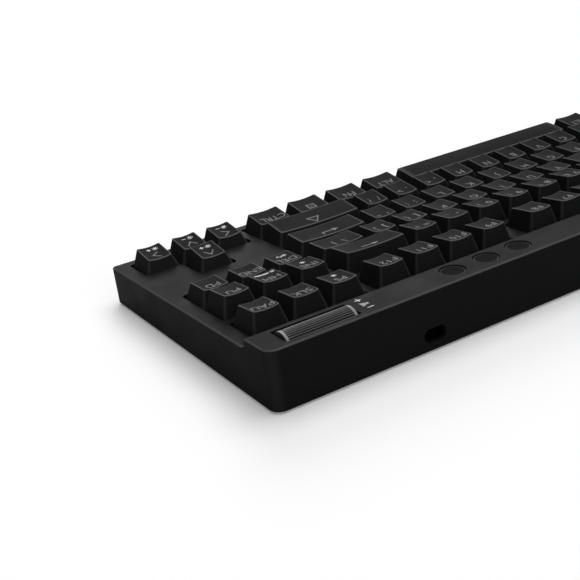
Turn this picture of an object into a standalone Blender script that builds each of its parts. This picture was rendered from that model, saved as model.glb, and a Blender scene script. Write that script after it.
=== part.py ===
"""Mechanical keyboard without a number pad, in metres, with +Z up.

The keyboard lies along X, its front edge faces -Y and its rear edge faces +Y.
The deck slopes down to the front, so everything that follows the deck is built
in a tilted frame: x along the keyboard, y from front to rear, and w square to
the deck, with w = 0 on the deck's top face and y = 0 at the front edge of the
bottom row of keys. The tray and the feet are built level, on the table.
"""

import math

import bmesh
import bpy
from mathutils import Vector

MM = 0.001

# Key layout
KEY_PITCH = 19.05 * MM
CLUSTER_GAP = 5.1 * MM
FUNCTION_ROW_GAP = 5.2 * MM
MAIN_UNITS = 15
SIDE_UNITS = 3
DECK_TILT = math.radians(1.4)

# Case shell
SIDE_MARGIN = 7.3 * MM
FRONT_MARGIN = 6.3 * MM
REAR_MARGIN = 24.5 * MM
FRONT_HEIGHT = 18.4 * MM
SHELL_WALL = 2.4 * MM
DECK_THICKNESS = 2.2 * MM
CORNER_RADIUS = 5.0 * MM
FRONT_CORNER_RADIUS = 1.5 * MM
EDGE_FILLET = 0.9 * MM
OPENING_MARGIN = 0.3 * MM
OPENING_RADIUS = 1.5 * MM

# Raised strip along the rear edge
STRIP_RISE = 4.3 * MM
STRIP_WIDTH = 18.2 * MM
STEP_RUN = 4.5 * MM
STRIP_WALL = 1.6 * MM

# Clearances
SEAT_GAP = 0.3 * MM
RUNNING_GAP = 0.5 * MM
OVERRUN = 2.0 * MM
MERGE_DISTANCE = 0.001 * MM

# Keycaps
CAP_SPACING = 0.85 * MM
CAP_SINK = 1.6 * MM
CAP_HEIGHT = 10.7 * MM
CAP_SIDE_TAPER = 3.1 * MM
CAP_FRONT_TAPER = 2.3 * MM
CAP_REAR_TAPER = 2.6 * MM
CAP_WALL = 1.3 * MM
CAP_ROOF = 1.3 * MM
CAP_DISH = 0.7 * MM
CAP_BASE_CHAMFER = 1.1 * MM
CAP_TOP_CHAMFER = 1.3 * MM
CAP_WEB_HEIGHT = 0.6 * MM
STEM_WIDTH = 5.4 * MM
STEM_ENGAGEMENT = 2.5 * MM
KEY_TRAVEL = 4.0 * MM

# Switches, plate and circuit board, stacked on the tray
BOARD_ROOM = 3.0 * MM
BOARD_THICKNESS = 1.4 * MM
PLATE_STAND = 3.8 * MM
PLATE_THICKNESS = 1.2 * MM
PLATE_HOLE = 14.0 * MM
HOUSING_WIDTH = 13.4 * MM
HOUSING_TOP_WIDTH = 10.4 * MM
HOUSING_SHOULDER = 0.8 * MM
STEM_SIDE_GAP = 0.35 * MM

# Stabilisers of the wide keys
STABILISER_SPACING = 23.8 * MM
SPACE_STABILISER_SPACING = 100.0 * MM
WIRE_DIAMETER = 1.6 * MM
WIRE_BAR_OFFSET = 8.2 * MM
WIRE_BELOW_PLATE = 0.6 * MM
WIRE_TIP_RISE = 4.1 * MM
WIRE_TIP_LENGTH = 1.0 * MM
POST_WIDTH = 4.0 * MM
POST_SLOT_HEIGHT = 2.8 * MM
POST_SLOT_WIDTH = 2.3 * MM
POST_FLOOR = 0.7 * MM
POST_GUIDE_GAP = 0.5 * MM
SADDLE_WIDTH = 3.0 * MM

# Volume wheel
WHEEL_SLOT_LENGTH = 34.8 * MM
WHEEL_FROM_SIDE = 27.6 * MM
WHEEL_END_GAP = 0.8 * MM
WHEEL_SIDE_GAP = 0.35 * MM
WHEEL_REAR_GAP = 0.3 * MM
WHEEL_FLANGE = 1.5 * MM
WHEEL_RIBS = 36
WHEEL_RIB_DEPTH = 0.6 * MM
SHAFT_RADIUS = 0.9 * MM
BRACKET_THICKNESS = 1.4 * MM
BRACKET_DEPTH = 7.0 * MM
ENCODER_THICKNESS = 6.0 * MM
ENCODER_SETBACK = 0.4 * MM

# Round buttons
BUTTON_COUNT = 3
BUTTON_PITCH = 18.4 * MM
BUTTON_FROM_SIDE = 96.9 * MM
BUTTON_RECESS = 0.4 * MM
BUTTON_TRAVEL = 0.6 * MM
BUTTON_LIP = 0.6 * MM
BUTTON_LIP_THICKNESS = 1.2 * MM
BUTTON_STEM_RADIUS = 2.0 * MM
TACT_WIDTH = 6.0 * MM
TACT_HEIGHT = 4.0 * MM

# Cable inlet
INLET_WIDTH = 11.4 * MM
INLET_HEIGHT = 6.2 * MM
INLET_RADIUS = 3.05 * MM
INLET_DROP = 0.25 * MM
INLET_FROM_SIDE = 77.85 * MM
SOCKET_WIDTH = 8.9 * MM
SOCKET_HEIGHT = 3.2 * MM
SOCKET_LENGTH = 7.3 * MM
SOCKET_WALL = 0.3 * MM
SOCKET_BACK = 1.2 * MM
SOCKET_FROM_REAR = 4.7 * MM

# Tray, rubber feet and tilt feet
TRAY_THICKNESS = 2.0 * MM
PILLAR_RADIUS = 2.5 * MM
PAD_STAND = 1.0 * MM
PAD_RECESS = 1.0 * MM
PAD_LENGTH = 22.0 * MM
PAD_WIDTH = 8.0 * MM
PAD_END_FLAT = 0.02 * MM
PAD_FRONT_SIDE_INSET = 30.0 * MM
PAD_REAR_SIDE_INSET = 16.5 * MM
PAD_FRONT_INSET = 14.0 * MM
PAD_REAR_INSET = 14.0 * MM
TILT_FOOT_LENGTH = 13.0 * MM
TILT_FOOT_WIDTH = 24.0 * MM
TILT_FOOT_THICKNESS = 4.0 * MM
TILT_FOOT_SIDE_INSET = 48.0 * MM
TILT_FOOT_REAR_INSET = 13.0 * MM
TILT_FOOT_RECESS = 0.2 * MM
TILT_PIN_RADIUS = 1.2 * MM
TILT_PIN_LENGTH = 1.8 * MM
TILT_POCKET_WALL = 1.2 * MM
TILT_SCOOP_LENGTH = 5.0 * MM
TILT_SCOOP_WIDTH = 12.0 * MM
TILT_SCOOP_DEPTH = 2.4 * MM

# Numbers of sides on round shapes
CORNER_STEPS = 4
OPENING_STEPS = 2
HOLE_SIDES = 32
BUTTON_SIDES = 24
ROUND_SIDES = 16
PILLAR_SIDES = 8
WIRE_SIDES = 6
DISH_STEPS = 4
SMOOTH_BELOW = math.radians(32)

# Heights of the front and rear top edges of the caps, as shares of CAP_HEIGHT,
# from the bottom row to the function row
ROW_HEIGHT_SHARES = (
    (0.91, 0.67),
    (0.91, 0.67),
    (0.73, 0.63),
    (0.74, 0.74),
    (0.91, 0.99),
    (0.91, 0.99),
)

# The wheel and the round buttons as shares of STRIP_WIDTH: their radii, and how far
# the buttons' centres stand from the case's rear
WHEEL_RADIUS_SHARE = 0.3434
BUTTON_RADIUS_SHARE = 0.302
BUTTON_REAR_SHARE = 0.544
# How far the wheel stands above the strip, as a share of its radius
WHEEL_PROUD_SHARE = 0.264
# The front of the raised strip, as shares of STEP_RUN and of STRIP_RISE
STEP_SHARES = ((0.0, 0.0), (0.5, 0.12), (0.85, 0.42))
# The edge fillet as an inset and a drop, as shares of EDGE_FILLET
FILLET_SHARES = ((0.0, 1.0), (0.3, 0.3), (1.0, 0.0))
# Places of the screw bosses along the bar in front of the function row,
# as shares of the case's width from its left side
BOSS_SHARES = (0.1, 0.37, 0.63, 0.86)
# Places of the tray's pillars, as shares of the circuit board's sides
PILLAR_ALONG_SHARES = (0.07, 0.35, 0.63, 0.93)
PILLAR_ACROSS_SHARES = (0.1, 0.45, 0.76)

# Key groups by row: name, left edge and cap width in key units, number of caps.
# Caps of one group move together on one thin frame at their skirts.
MAIN_KEY_UNITS = (
    (
        ("key_control_left", 0.0, 1.25, 1),
        ("key_system", 1.25, 1.25, 1),
        ("key_alt_left", 2.5, 1.25, 1),
        ("key_space", 3.75, 6.25, 1),
        ("key_alt_right", 10.0, 1.25, 1),
        ("key_function", 11.25, 1.25, 1),
        ("key_menu", 12.5, 1.25, 1),
        ("key_control_right", 13.75, 1.25, 1),
    ),
    (
        ("key_shift_left", 0.0, 2.25, 1),
        ("keys_z_to_slash", 2.25, 1.0, 10),
        ("key_shift_right", 12.25, 2.75, 1),
    ),
    (
        ("key_caps_lock", 0.0, 1.75, 1),
        ("keys_a_to_quote", 1.75, 1.0, 11),
        ("key_enter", 12.75, 2.25, 1),
    ),
    (
        ("key_tab", 0.0, 1.5, 1),
        ("keys_q_to_bracket", 1.5, 1.0, 12),
        ("key_backslash", 13.5, 1.5, 1),
    ),
    (
        ("keys_number_row", 0.0, 1.0, 13),
        ("key_backspace", 13.0, 2.0, 1),
    ),
    (
        ("key_escape", 0.0, 1.0, 1),
        ("keys_f1_to_f4", 2.0, 1.0, 4),
        ("keys_f5_to_f8", 6.5, 1.0, 4),
        ("keys_f9_to_f12", 11.0, 1.0, 4),
    ),
)
SIDE_KEY_UNITS = (
    (("key_left", 0.0, 1.0, 1), ("key_down", 1.0, 1.0, 1), ("key_right", 2.0, 1.0, 1)),
    (("key_up", 1.0, 1.0, 1),),
    (),
    (
        ("key_delete", 0.0, 1.0, 1),
        ("key_end", 1.0, 1.0, 1),
        ("key_page_down", 2.0, 1.0, 1),
    ),
    (
        ("key_insert", 0.0, 1.0, 1),
        ("key_home", 1.0, 1.0, 1),
        ("key_page_up", 2.0, 1.0, 1),
    ),
    (
        ("key_print_screen", 0.0, 1.0, 1),
        ("key_scroll_lock", 1.0, 1.0, 1),
        ("key_pause", 2.0, 1.0, 1),
    ),
)
STABILISED_UNITS = 2.0
SPACE_UNITS = 6.0
PAGE_KEY_ROW_COUNT = 2

# Sizes that follow from the ones above
FUNCTION_ROW = max(range(len(MAIN_KEY_UNITS)))
KEYS_WIDTH = (MAIN_UNITS + SIDE_UNITS) * KEY_PITCH + CLUSTER_GAP
KEYS_LEFT = -KEYS_WIDTH / 2
KEYS_DEPTH = len(MAIN_KEY_UNITS) * KEY_PITCH + FUNCTION_ROW_GAP
SIDE_LEFT = KEYS_LEFT + MAIN_UNITS * KEY_PITCH + CLUSTER_GAP
CASE_RIGHT = KEYS_WIDTH / 2 + SIDE_MARGIN
CASE_FRONT = -FRONT_MARGIN
CASE_REAR = KEYS_DEPTH + REAR_MARGIN
STRIP_FRONT = CASE_REAR - STRIP_WIDTH
STRIP_UNDERSIDE = STRIP_RISE - DECK_THICKNESS
BOARD_BOTTOM = TRAY_THICKNESS + BOARD_ROOM - FRONT_HEIGHT
BOARD_TOP = BOARD_BOTTOM + BOARD_THICKNESS
PLATE_BOTTOM = BOARD_TOP + PLATE_STAND
PLATE_TOP = PLATE_BOTTOM + PLATE_THICKNESS
BOARD_REAR = CASE_REAR - SOCKET_FROM_REAR
INNER_RIGHT = CASE_RIGHT - SHELL_WALL
INNER_FRONT = CASE_FRONT + SHELL_WALL
INNER_REAR = CASE_REAR - SHELL_WALL
BOARD_SIDE = INNER_RIGHT - RUNNING_GAP
BOARD_FRONT = INNER_FRONT + RUNNING_GAP
LOWEST_CAP = CAP_HEIGHT * min(min(row) for row in ROW_HEIGHT_SHARES)
LOWEST_CEILING = LOWEST_CAP - CAP_DISH - CAP_ROOF
HOUSING_TOP = -CAP_SINK - KEY_TRAVEL + LOWEST_CEILING - RUNNING_GAP
STEM_BOTTOM = HOUSING_TOP - STEM_ENGAGEMENT
WELL_BOTTOM = STEM_BOTTOM - KEY_TRAVEL - RUNNING_GAP
WELL_WIDTH = STEM_WIDTH + 2 * STEM_SIDE_GAP
WHEEL_X = CASE_RIGHT - WHEEL_FROM_SIDE
WHEEL_RADIUS = STRIP_WIDTH * WHEEL_RADIUS_SHARE
WHEEL_Y = INNER_REAR - WHEEL_REAR_GAP - WHEEL_RADIUS
WHEEL_W = STRIP_RISE + WHEEL_RADIUS * WHEEL_PROUD_SHARE - WHEEL_RADIUS
WHEEL_HALF = WHEEL_SLOT_LENGTH / 2 - WHEEL_END_GAP
WHEEL_CHORD = math.sqrt(WHEEL_RADIUS**2 - (STRIP_UNDERSIDE - WHEEL_W) ** 2)
EAR_INNER = WHEEL_HALF + RUNNING_GAP
EAR_OUTER = EAR_INNER + BRACKET_THICKNESS
EAR_TOP = STRIP_UNDERSIDE - SEAT_GAP
BRACKET_BOTTOM = BOARD_TOP + SEAT_GAP
SHAFT_BORE = SHAFT_RADIUS + SEAT_GAP
ENCODER_FACE = EAR_OUTER + SEAT_GAP
ENCODER_HALF_DEPTH = WHEEL_RADIUS - ENCODER_SETBACK
BUTTON_RADIUS = STRIP_WIDTH * BUTTON_RADIUS_SHARE
BUTTON_Y = CASE_REAR - STRIP_WIDTH * BUTTON_REAR_SHARE
WIRE_RADIUS = WIRE_DIAMETER / 2
WIRE_W = PLATE_BOTTOM - WIRE_BELOW_PLATE - WIRE_RADIUS
WIRE_ANGLE = math.asin(WIRE_TIP_RISE / WIRE_BAR_OFFSET)
POST_BOTTOM = WIRE_W + WIRE_TIP_RISE - POST_SLOT_HEIGHT / 2 - POST_FLOOR
SOCKET_TOP = BOARD_BOTTOM - SEAT_GAP
SOCKET_W = SOCKET_TOP - SOCKET_HEIGHT / 2
SOCKET_X = CASE_RIGHT - INLET_FROM_SIDE

# The deck's frame in the world: the case stands on its pads with its front
# wall FRONT_HEIGHT tall, and its bounding box is centred on the origin
TILT_SIN = math.sin(DECK_TILT)
TILT_COS = math.cos(DECK_TILT)
FRAME_Z = PAD_STAND + FRONT_HEIGHT * TILT_COS - CASE_FRONT * TILT_SIN
REAR_DROP = (FRAME_Z - PAD_STAND + CASE_REAR * TILT_SIN) / TILT_COS
FRONTMOST_Y = CASE_FRONT * TILT_COS + EDGE_FILLET * TILT_SIN
REARMOST_Y = CASE_REAR * TILT_COS + REAR_DROP * TILT_SIN
FRAME_Y = -(FRONTMOST_Y + REARMOST_Y) / 2


def base_w(y):
    """The depth of the case's bottom plane below the deck at y, as a w."""
    return -(FRAME_Z - PAD_STAND + y * TILT_SIN) / TILT_COS


def world_y(y, w):
    """The level y of a place in the deck's frame."""
    return y * TILT_COS - w * TILT_SIN + FRAME_Y


def world_z(y, w):
    """The height above the table of a place in the deck's frame."""
    return y * TILT_SIN + w * TILT_COS + FRAME_Z


def row_front(row):
    """The front edge of a row of keys. The function row stands apart."""
    gap = FUNCTION_ROW_GAP if row == FUNCTION_ROW else 0
    return row * KEY_PITCH + gap


def row_centre(row):
    return row_front(row) + KEY_PITCH / 2


def key_groups():
    """Each key group as name, row, left edge, cap width in units and number of caps."""
    for left, rows in ((KEYS_LEFT, MAIN_KEY_UNITS), (SIDE_LEFT, SIDE_KEY_UNITS)):
        for row, groups in enumerate(rows):
            for name, start_units, width_units, count in groups:
                yield name, row, left + start_units * KEY_PITCH, width_units, count


def stabiliser_spacing(width_units):
    """The distance between a wide key's two guide posts, or None for a narrow key."""
    if width_units < STABILISED_UNITS:
        return None
    return STABILISER_SPACING if width_units < SPACE_UNITS else SPACE_STABILISER_SPACING


def wide_keys():
    """Each stabilised key as name, row, centre x and post spacing."""
    for name, row, left, width_units, count in key_groups():
        spacing = stabiliser_spacing(width_units)
        if spacing:
            yield name, row, left + width_units * KEY_PITCH / 2, spacing


# Scene and objects


def clear_scene():
    for obj in list(bpy.data.objects):
        bpy.data.objects.remove(obj)


def make_material(name, colour, roughness, metallic=0.0):
    material = bpy.data.materials.new(name)
    material.use_nodes = True
    shader = material.node_tree.nodes["Principled BSDF"]
    shader.inputs["Base Color"].default_value = (*colour, 1.0)
    shader.inputs["Roughness"].default_value = roughness
    shader.inputs["Metallic"].default_value = metallic
    return material


def shell_material():
    return make_material("black_shell_plastic", (0.030, 0.030, 0.031), 0.55)


def keycap_material():
    return make_material("black_keycap_plastic", (0.022, 0.022, 0.023), 0.42)


def tray_material():
    return make_material("black_tray_plastic", (0.012, 0.012, 0.012), 0.6)


def plate_material():
    return make_material("black_coated_steel", (0.015, 0.015, 0.016), 0.4, 0.8)


def board_material():
    return make_material("black_circuit_board", (0.010, 0.014, 0.012), 0.5)


def wheel_material():
    return make_material("black_wheel_plastic", (0.035, 0.035, 0.036), 0.38)


def steel_material():
    return make_material("bright_steel", (0.55, 0.55, 0.56), 0.25, 1.0)


def rubber_material():
    return make_material("black_rubber", (0.008, 0.008, 0.008), 0.85)


def add_object(name, bm, material, parent=None, location=(0, 0, 0)):
    """Closes a bmesh into a named object with outward faces and smooth rounds."""
    bmesh.ops.recalc_face_normals(bm, faces=bm.faces)
    mesh = bpy.data.meshes.new(name)
    bm.to_mesh(mesh)
    bm.free()
    if material:
        mesh.materials.append(material)
    mesh.shade_smooth()
    mesh.set_sharp_from_angle(angle=SMOOTH_BELOW)
    obj = bpy.data.objects.new(name, mesh)
    obj.location = location
    obj.parent = parent
    bpy.context.scene.collection.objects.link(obj)
    return obj


def add_helper(name, bm, parent=None, location=(0, 0, 0)):
    """A cutter or an addition for a Boolean, which isn't part of the model."""
    obj = add_object(name, bm, None, parent, location)
    obj.hide_render = True
    obj.display_type = "WIRE"
    return obj


def combine(obj, helper, operation):
    modifier = obj.modifiers.new(helper.name, "BOOLEAN")
    modifier.object = helper
    modifier.operation = operation
    modifier.solver = "EXACT"


# Outlines and solids


def rounded_outline(corners, radius, steps):
    """A right-angled outline whose corners, inner ones too, are arcs of one radius."""
    points = []
    for index, corner in enumerate(corners):
        corner = Vector(corner)
        back = (Vector(corners[index - 1]) - corner).normalized()
        ahead = (Vector(corners[(index + 1) % len(corners)]) - corner).normalized()
        centre = corner + (back + ahead) * radius
        for step in range(steps + 1):
            angle = math.pi / 2 * step / steps
            points.append(centre - (ahead * math.cos(angle) + back * math.sin(angle)) * radius)
    return points


def rectangle(left, right, front, rear):
    return ((right, front), (right, rear), (left, rear), (left, front))


def circle(radius, sides):
    turn = 2 * math.pi / sides
    return [Vector((radius * math.cos(i * turn), radius * math.sin(i * turn))) for i in range(sides)]


def loft(bm, rings):
    """A closed body through rings of equal point counts, with flat ends."""
    loops = [[bm.verts.new(point) for point in ring] for ring in rings]
    for lower, upper in zip(loops, loops[1:]):
        for i in range(len(lower)):
            j = (i + 1) % len(lower)
            bm.faces.new((lower[i], lower[j], upper[j], upper[i]))
    bm.faces.new(loops[0])
    bm.faces.new(loops[-1])


def add_prism(bm, outline, low, high):
    """An upright prism over an outline in x and y."""
    loft(bm, [[(x, y, w) for x, y in outline] for w in (low, high)])


def add_box(bm, left, right, front, rear, low, high):
    add_prism(bm, rectangle(left, right, front, rear), low, high)


def add_tapered_box(bm, centre, widths, levels):
    """A square column whose width changes from level to level."""
    x, y = centre
    rings = []
    for width, w in zip(widths, levels):
        half = width / 2
        rings.append([(px, py, w) for px, py in rectangle(x - half, x + half, y - half, y + half)])
    loft(bm, rings)


def add_rod_along_x(bm, left, right, y, w, radius, sides):
    loft(bm, [[(x, y + p.x, w + p.y) for p in circle(radius, sides)] for x in (left, right)])


def add_turned(bm, profile, sides):
    """A body turned about the w axis from (radius, w) pairs, with flat ends."""
    rings = []
    for radius, w in profile:
        rings.append([(p.x, p.y, w) for p in circle(radius, sides)])
    loft(bm, rings)


# Keycaps


class CapShape:
    """The sizes of one keycap about its own centre, with w = 0 at its skirt."""

    def __init__(self, row, width_units):
        front_share, rear_share = ROW_HEIGHT_SHARES[row]
        self.front_height = CAP_HEIGHT * front_share
        self.rear_height = CAP_HEIGHT * rear_share
        self.half_width = (width_units * KEY_PITCH - CAP_SPACING) / 2
        self.half_depth = (KEY_PITCH - CAP_SPACING) / 2
        self.top_half_width = self.half_width - CAP_SIDE_TAPER
        self.top_front = CAP_FRONT_TAPER - self.half_depth
        self.top_rear = self.half_depth - CAP_REAR_TAPER
        self.dish = CAP_DISH if width_units < SPACE_UNITS else 0
        self.ceiling = min(self.front_height, self.rear_height) - CAP_DISH - CAP_ROOF

    def top_point(self, x, y):
        """A point of the top, hollowed across the cap as a parabola, or flat on the space bar."""
        along = (y - self.top_front) / (self.top_rear - self.top_front)
        rim = self.front_height + (self.rear_height - self.front_height) * along
        return (x, y, rim - self.dish * (1 - (x / self.top_half_width) ** 2))

    def outline_at(self, w, chamfer, inset=0.0):
        """The cap's section at a height, with its four corners cut off."""
        share = w / self.front_height
        half_width = self.half_width - CAP_SIDE_TAPER * share - inset
        front = CAP_FRONT_TAPER * share - self.half_depth + inset
        rear = self.half_depth - CAP_REAR_TAPER * share - inset
        if not chamfer:
            return [(x, y, w) for x, y in rectangle(-half_width, half_width, front, rear)]
        return [
            (half_width, front + chamfer, w),
            (half_width, rear - chamfer, w),
            (half_width - chamfer, rear, w),
            (chamfer - half_width, rear, w),
            (-half_width, rear - chamfer, w),
            (-half_width, front + chamfer, w),
            (chamfer - half_width, front, w),
            (half_width - chamfer, front, w),
        ]


def add_cap_outside(new_face, shape, base):
    """The four sides, the cut corners and the dished top above the base ring."""
    flat_half = shape.top_half_width - CAP_TOP_CHAMFER
    columns = [flat_half * (2 * i / DISH_STEPS - 1) for i in range(DISH_STEPS + 1)]
    front = [shape.top_point(x, shape.top_front) for x in columns]
    rear = [shape.top_point(x, shape.top_rear) for x in columns]
    near = shape.top_front + CAP_TOP_CHAMFER
    far = shape.top_rear - CAP_TOP_CHAMFER
    right_near = shape.top_point(shape.top_half_width, near)
    right_far = shape.top_point(shape.top_half_width, far)
    left_near = shape.top_point(-shape.top_half_width, near)
    left_far = shape.top_point(-shape.top_half_width, far)
    new_face(base[0], base[1], right_far, right_near)
    new_face(base[1], base[2], rear[-1], right_far)
    new_face(base[2], base[3], *rear)
    new_face(base[3], base[4], left_far, rear[0])
    new_face(base[4], base[5], left_near, left_far)
    new_face(base[5], base[6], front[0], left_near)
    new_face(base[6], base[7], *reversed(front))
    new_face(base[7], base[0], right_near, front[-1])
    for i in range(DISH_STEPS):
        new_face(front[i], front[i + 1], rear[i + 1], rear[i])
    new_face(front[-1], right_near, right_far, rear[-1])
    new_face(left_near, front[0], rear[0], left_far)


def add_cap_inside(new_face, shape, mouth):
    """The hollow under the cap, with the slider that runs in the switch."""
    ceiling = shape.outline_at(shape.ceiling, 0, CAP_WALL)
    half = STEM_WIDTH / 2
    stem_bottom = STEM_BOTTOM + CAP_SINK
    stem = [(x, y, shape.ceiling) for x, y in rectangle(-half, half, -half, half)]
    foot = [(x, y, stem_bottom) for x, y, _ in stem]
    for lower, upper in ((mouth, ceiling), (ceiling, stem), (stem, foot)):
        for i in range(4):
            j = (i + 1) % 4
            new_face(lower[i], lower[j], upper[j], upper[i])
    new_face(*foot)


def join_ring_to_corners(new_face, ring, corners):
    """Faces from an eight-point ring to the four corners around or inside it."""
    for side in range(4):
        a = corners[side]
        b = corners[(side + 1) % 4]
        new_face(a, b, ring[2 * side + 1], ring[2 * side])
        new_face(b, ring[(2 * side + 2) % 8], ring[2 * side + 1])


def add_cap(bm, shape, x, first, last, single):
    """One cap at x in its group. In a group a thin frame at the skirts joins them."""
    vertices = {}

    def new_face(*points):
        corners = []
        for px, py, pw in points:
            place = (px + x, py, pw)
            if place not in vertices:
                vertices[place] = bm.verts.new(place)
            corners.append(vertices[place])
        bm.faces.new(corners)

    mouth = shape.outline_at(0, 0, CAP_WALL)
    if single:
        base = shape.outline_at(0, CAP_BASE_CHAMFER)
        join_ring_to_corners(new_face, base, mouth)
    else:
        base = shape.outline_at(CAP_WEB_HEIGHT, CAP_BASE_CHAMFER)
        left = -(shape.half_width if first else KEY_PITCH / 2)
        right = shape.half_width if last else KEY_PITCH / 2
        outline = rectangle(left, right, -shape.half_depth, shape.half_depth)
        low = [(px, py, 0.0) for px, py in outline]
        high = [(px, py, CAP_WEB_HEIGHT) for px, py in outline]
        join_ring_to_corners(new_face, base, high)
        for i in range(4):
            j = (i + 1) % 4
            new_face(low[i], low[j], mouth[j], mouth[i])
        closed_sides = [1, 3] + ([0] if last else []) + ([2] if first else [])
        for i in closed_sides:
            j = (i + 1) % 4
            new_face(low[i], low[j], high[j], high[i])
    add_cap_outside(new_face, shape, base)
    add_cap_inside(new_face, shape, mouth)


def add_guide_posts(name, key, shape, spacing, parent, location):
    """Two posts under a wide cap, each with a slot that holds the wire's end."""
    bm = bmesh.new()
    half = POST_WIDTH / 2
    low = POST_BOTTOM + CAP_SINK
    high = shape.ceiling + CAP_ROOF / 2
    slot_low = low + POST_FLOOR
    slot_high = slot_low + POST_SLOT_HEIGHT
    slot_half = POST_SLOT_WIDTH / 2
    for x in (-spacing / 2, spacing / 2):
        outer = rectangle(x - half, x + half, low, high)
        inner = rectangle(x - slot_half, x + slot_half, slot_low, slot_high)
        loops = []
        for y, outline in ((-half, outer), (half, outer), (half, inner), (-half, inner)):
            loops.append([bm.verts.new((px, y, pw)) for px, pw in outline])
        for ring, loop in enumerate(loops):
            following = loops[(ring + 1) % 4]
            for i in range(4):
                j = (i + 1) % 4
                bm.faces.new((loop[i], loop[j], following[j], following[i]))
    combine(key, add_helper(name + "_posts", bm, parent, location), "UNION")


def build_keys(parent):
    material = keycap_material()
    for name, row, left, width_units, count in key_groups():
        shape = CapShape(row, width_units)
        pitch = width_units * KEY_PITCH
        location = (left + count * pitch / 2, row_centre(row), -CAP_SINK)
        bm = bmesh.new()
        for i in range(count):
            x = (i - (count - 1) / 2) * pitch
            add_cap(bm, shape, x, i == 0, i == count - 1, count == 1)
        bmesh.ops.remove_doubles(bm, verts=bm.verts, dist=MERGE_DISTANCE)
        key = add_object(name, bm, material, parent, location)
        spacing = stabiliser_spacing(width_units)
        if spacing:
            add_guide_posts(name, key, shape, spacing, parent, location)


# Stabiliser wires


def wire_path(spacing):
    """The wire's centre line about its bar, with both arms raised to the posts."""
    reach = WIRE_BAR_OFFSET + WIRE_TIP_LENGTH
    tip = (reach * math.cos(WIRE_ANGLE), reach * math.sin(WIRE_ANGLE))
    half = spacing / 2
    return ((-half, *tip), (-half, 0, 0), (half, 0, 0), (half, *tip))


def build_wire(name, row, x, spacing, parent):
    """A bent steel wire, swept with a section square to each stretch or bend."""
    path = [Vector(point) for point in wire_path(spacing)]
    directions = [(b - a).normalized() for a, b in zip(path, path[1:])]
    across = directions[0].cross(directions[1]).normalized()
    bm = bmesh.new()
    rings = []
    for i, point in enumerate(path):
        before = directions[max(i - 1, 0)]
        after = directions[min(i, len(directions) - 1)]
        normal = (before + after).normalized()
        side = normal.cross(across)
        stretch = 1 / normal.dot(after)
        ring = []
        for p in circle(WIRE_RADIUS, WIRE_SIDES):
            ring.append(point + across * p.x + side * (p.y * stretch))
        rings.append(ring)
    loft(bm, rings)
    location = (x, row_centre(row) - WIRE_BAR_OFFSET, WIRE_W)
    add_object(name, bm, steel_material(), parent, location)


def build_wires(parent):
    for name, row, x, spacing in wide_keys():
        build_wire(name.replace("key_", "wire_"), row, x, spacing, parent)


# Top cover


def case_outline(inset):
    """The outline of the case, drawn in by inset: nearly square in front, rounder at the rear."""
    side = CASE_RIGHT - inset
    outline = rectangle(-side, side, CASE_FRONT + inset, CASE_REAR - inset)
    front = rounded_outline(outline, FRONT_CORNER_RADIUS - inset, CORNER_STEPS)
    rear = rounded_outline(outline, CORNER_RADIUS - inset, CORNER_STEPS)
    corner = CORNER_STEPS + 1
    return front[:corner] + rear[corner : 3 * corner] + front[3 * corner :]


def cover_body(parent):
    """The smooth outer block of the case, up to the deck."""
    bm = bmesh.new()
    rings = [[(x, y, base_w(y)) for x, y in case_outline(0)]]
    for inset_share, drop_share in FILLET_SHARES:
        level = -EDGE_FILLET * drop_share
        rings.append([(x, y, level) for x, y in case_outline(EDGE_FILLET * inset_share)])
    loft(bm, rings)
    return add_object("top_cover", bm, shell_material(), parent)


def strip_ring(front, inset, level):
    """One section of the raised strip: square front corners, round rear ones."""
    right = CASE_RIGHT - inset
    rear = CASE_REAR - inset
    outline = rectangle(-right, right, front, rear)
    rounded = rounded_outline(outline, CORNER_RADIUS - inset, CORNER_STEPS)
    rear_corners = rounded[CORNER_STEPS + 1 : 3 * (CORNER_STEPS + 1)]
    points = [Vector(outline[0])] + rear_corners + [Vector(outline[3])]
    return [(x, y, base_w(y) if level is None else level) for x, y in points]


def strip_body(parent):
    """The raised strip, whose front sweeps up from the deck in a hollow curve."""
    bm = bmesh.new()
    foot = STRIP_FRONT - STEP_RUN
    rings = [strip_ring(foot, 0, None)]
    for run_share, rise_share in STEP_SHARES:
        rings.append(strip_ring(foot + STEP_RUN * run_share, 0, STRIP_RISE * rise_share))
    for inset_share, drop_share in FILLET_SHARES:
        inset = EDGE_FILLET * inset_share
        level = STRIP_RISE - EDGE_FILLET * drop_share
        rings.append(strip_ring(STRIP_FRONT + inset, inset, level))
    loft(bm, rings)
    return add_helper("strip_body", bm, parent)


def cavity(parent):
    """The hollow of the case under the deck, open at the bottom."""
    bm = bmesh.new()
    outline = rectangle(-INNER_RIGHT, INNER_RIGHT, INNER_FRONT, INNER_REAR)
    rounded = rounded_outline(outline, CORNER_RADIUS - SHELL_WALL, CORNER_STEPS)
    add_prism(bm, rounded, -REAR_DROP - OVERRUN, -DECK_THICKNESS)
    return add_helper("case_cavity", bm, parent)


def strip_cavity(parent):
    """The hollow under the raised strip, which opens into the case's hollow."""
    bm = bmesh.new()
    front = STRIP_FRONT + STRIP_WALL
    add_box(bm, -INNER_RIGHT, INNER_RIGHT, front, INNER_REAR, BOARD_TOP, STRIP_UNDERSIDE)
    return add_helper("strip_cavity", bm, parent)


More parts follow.
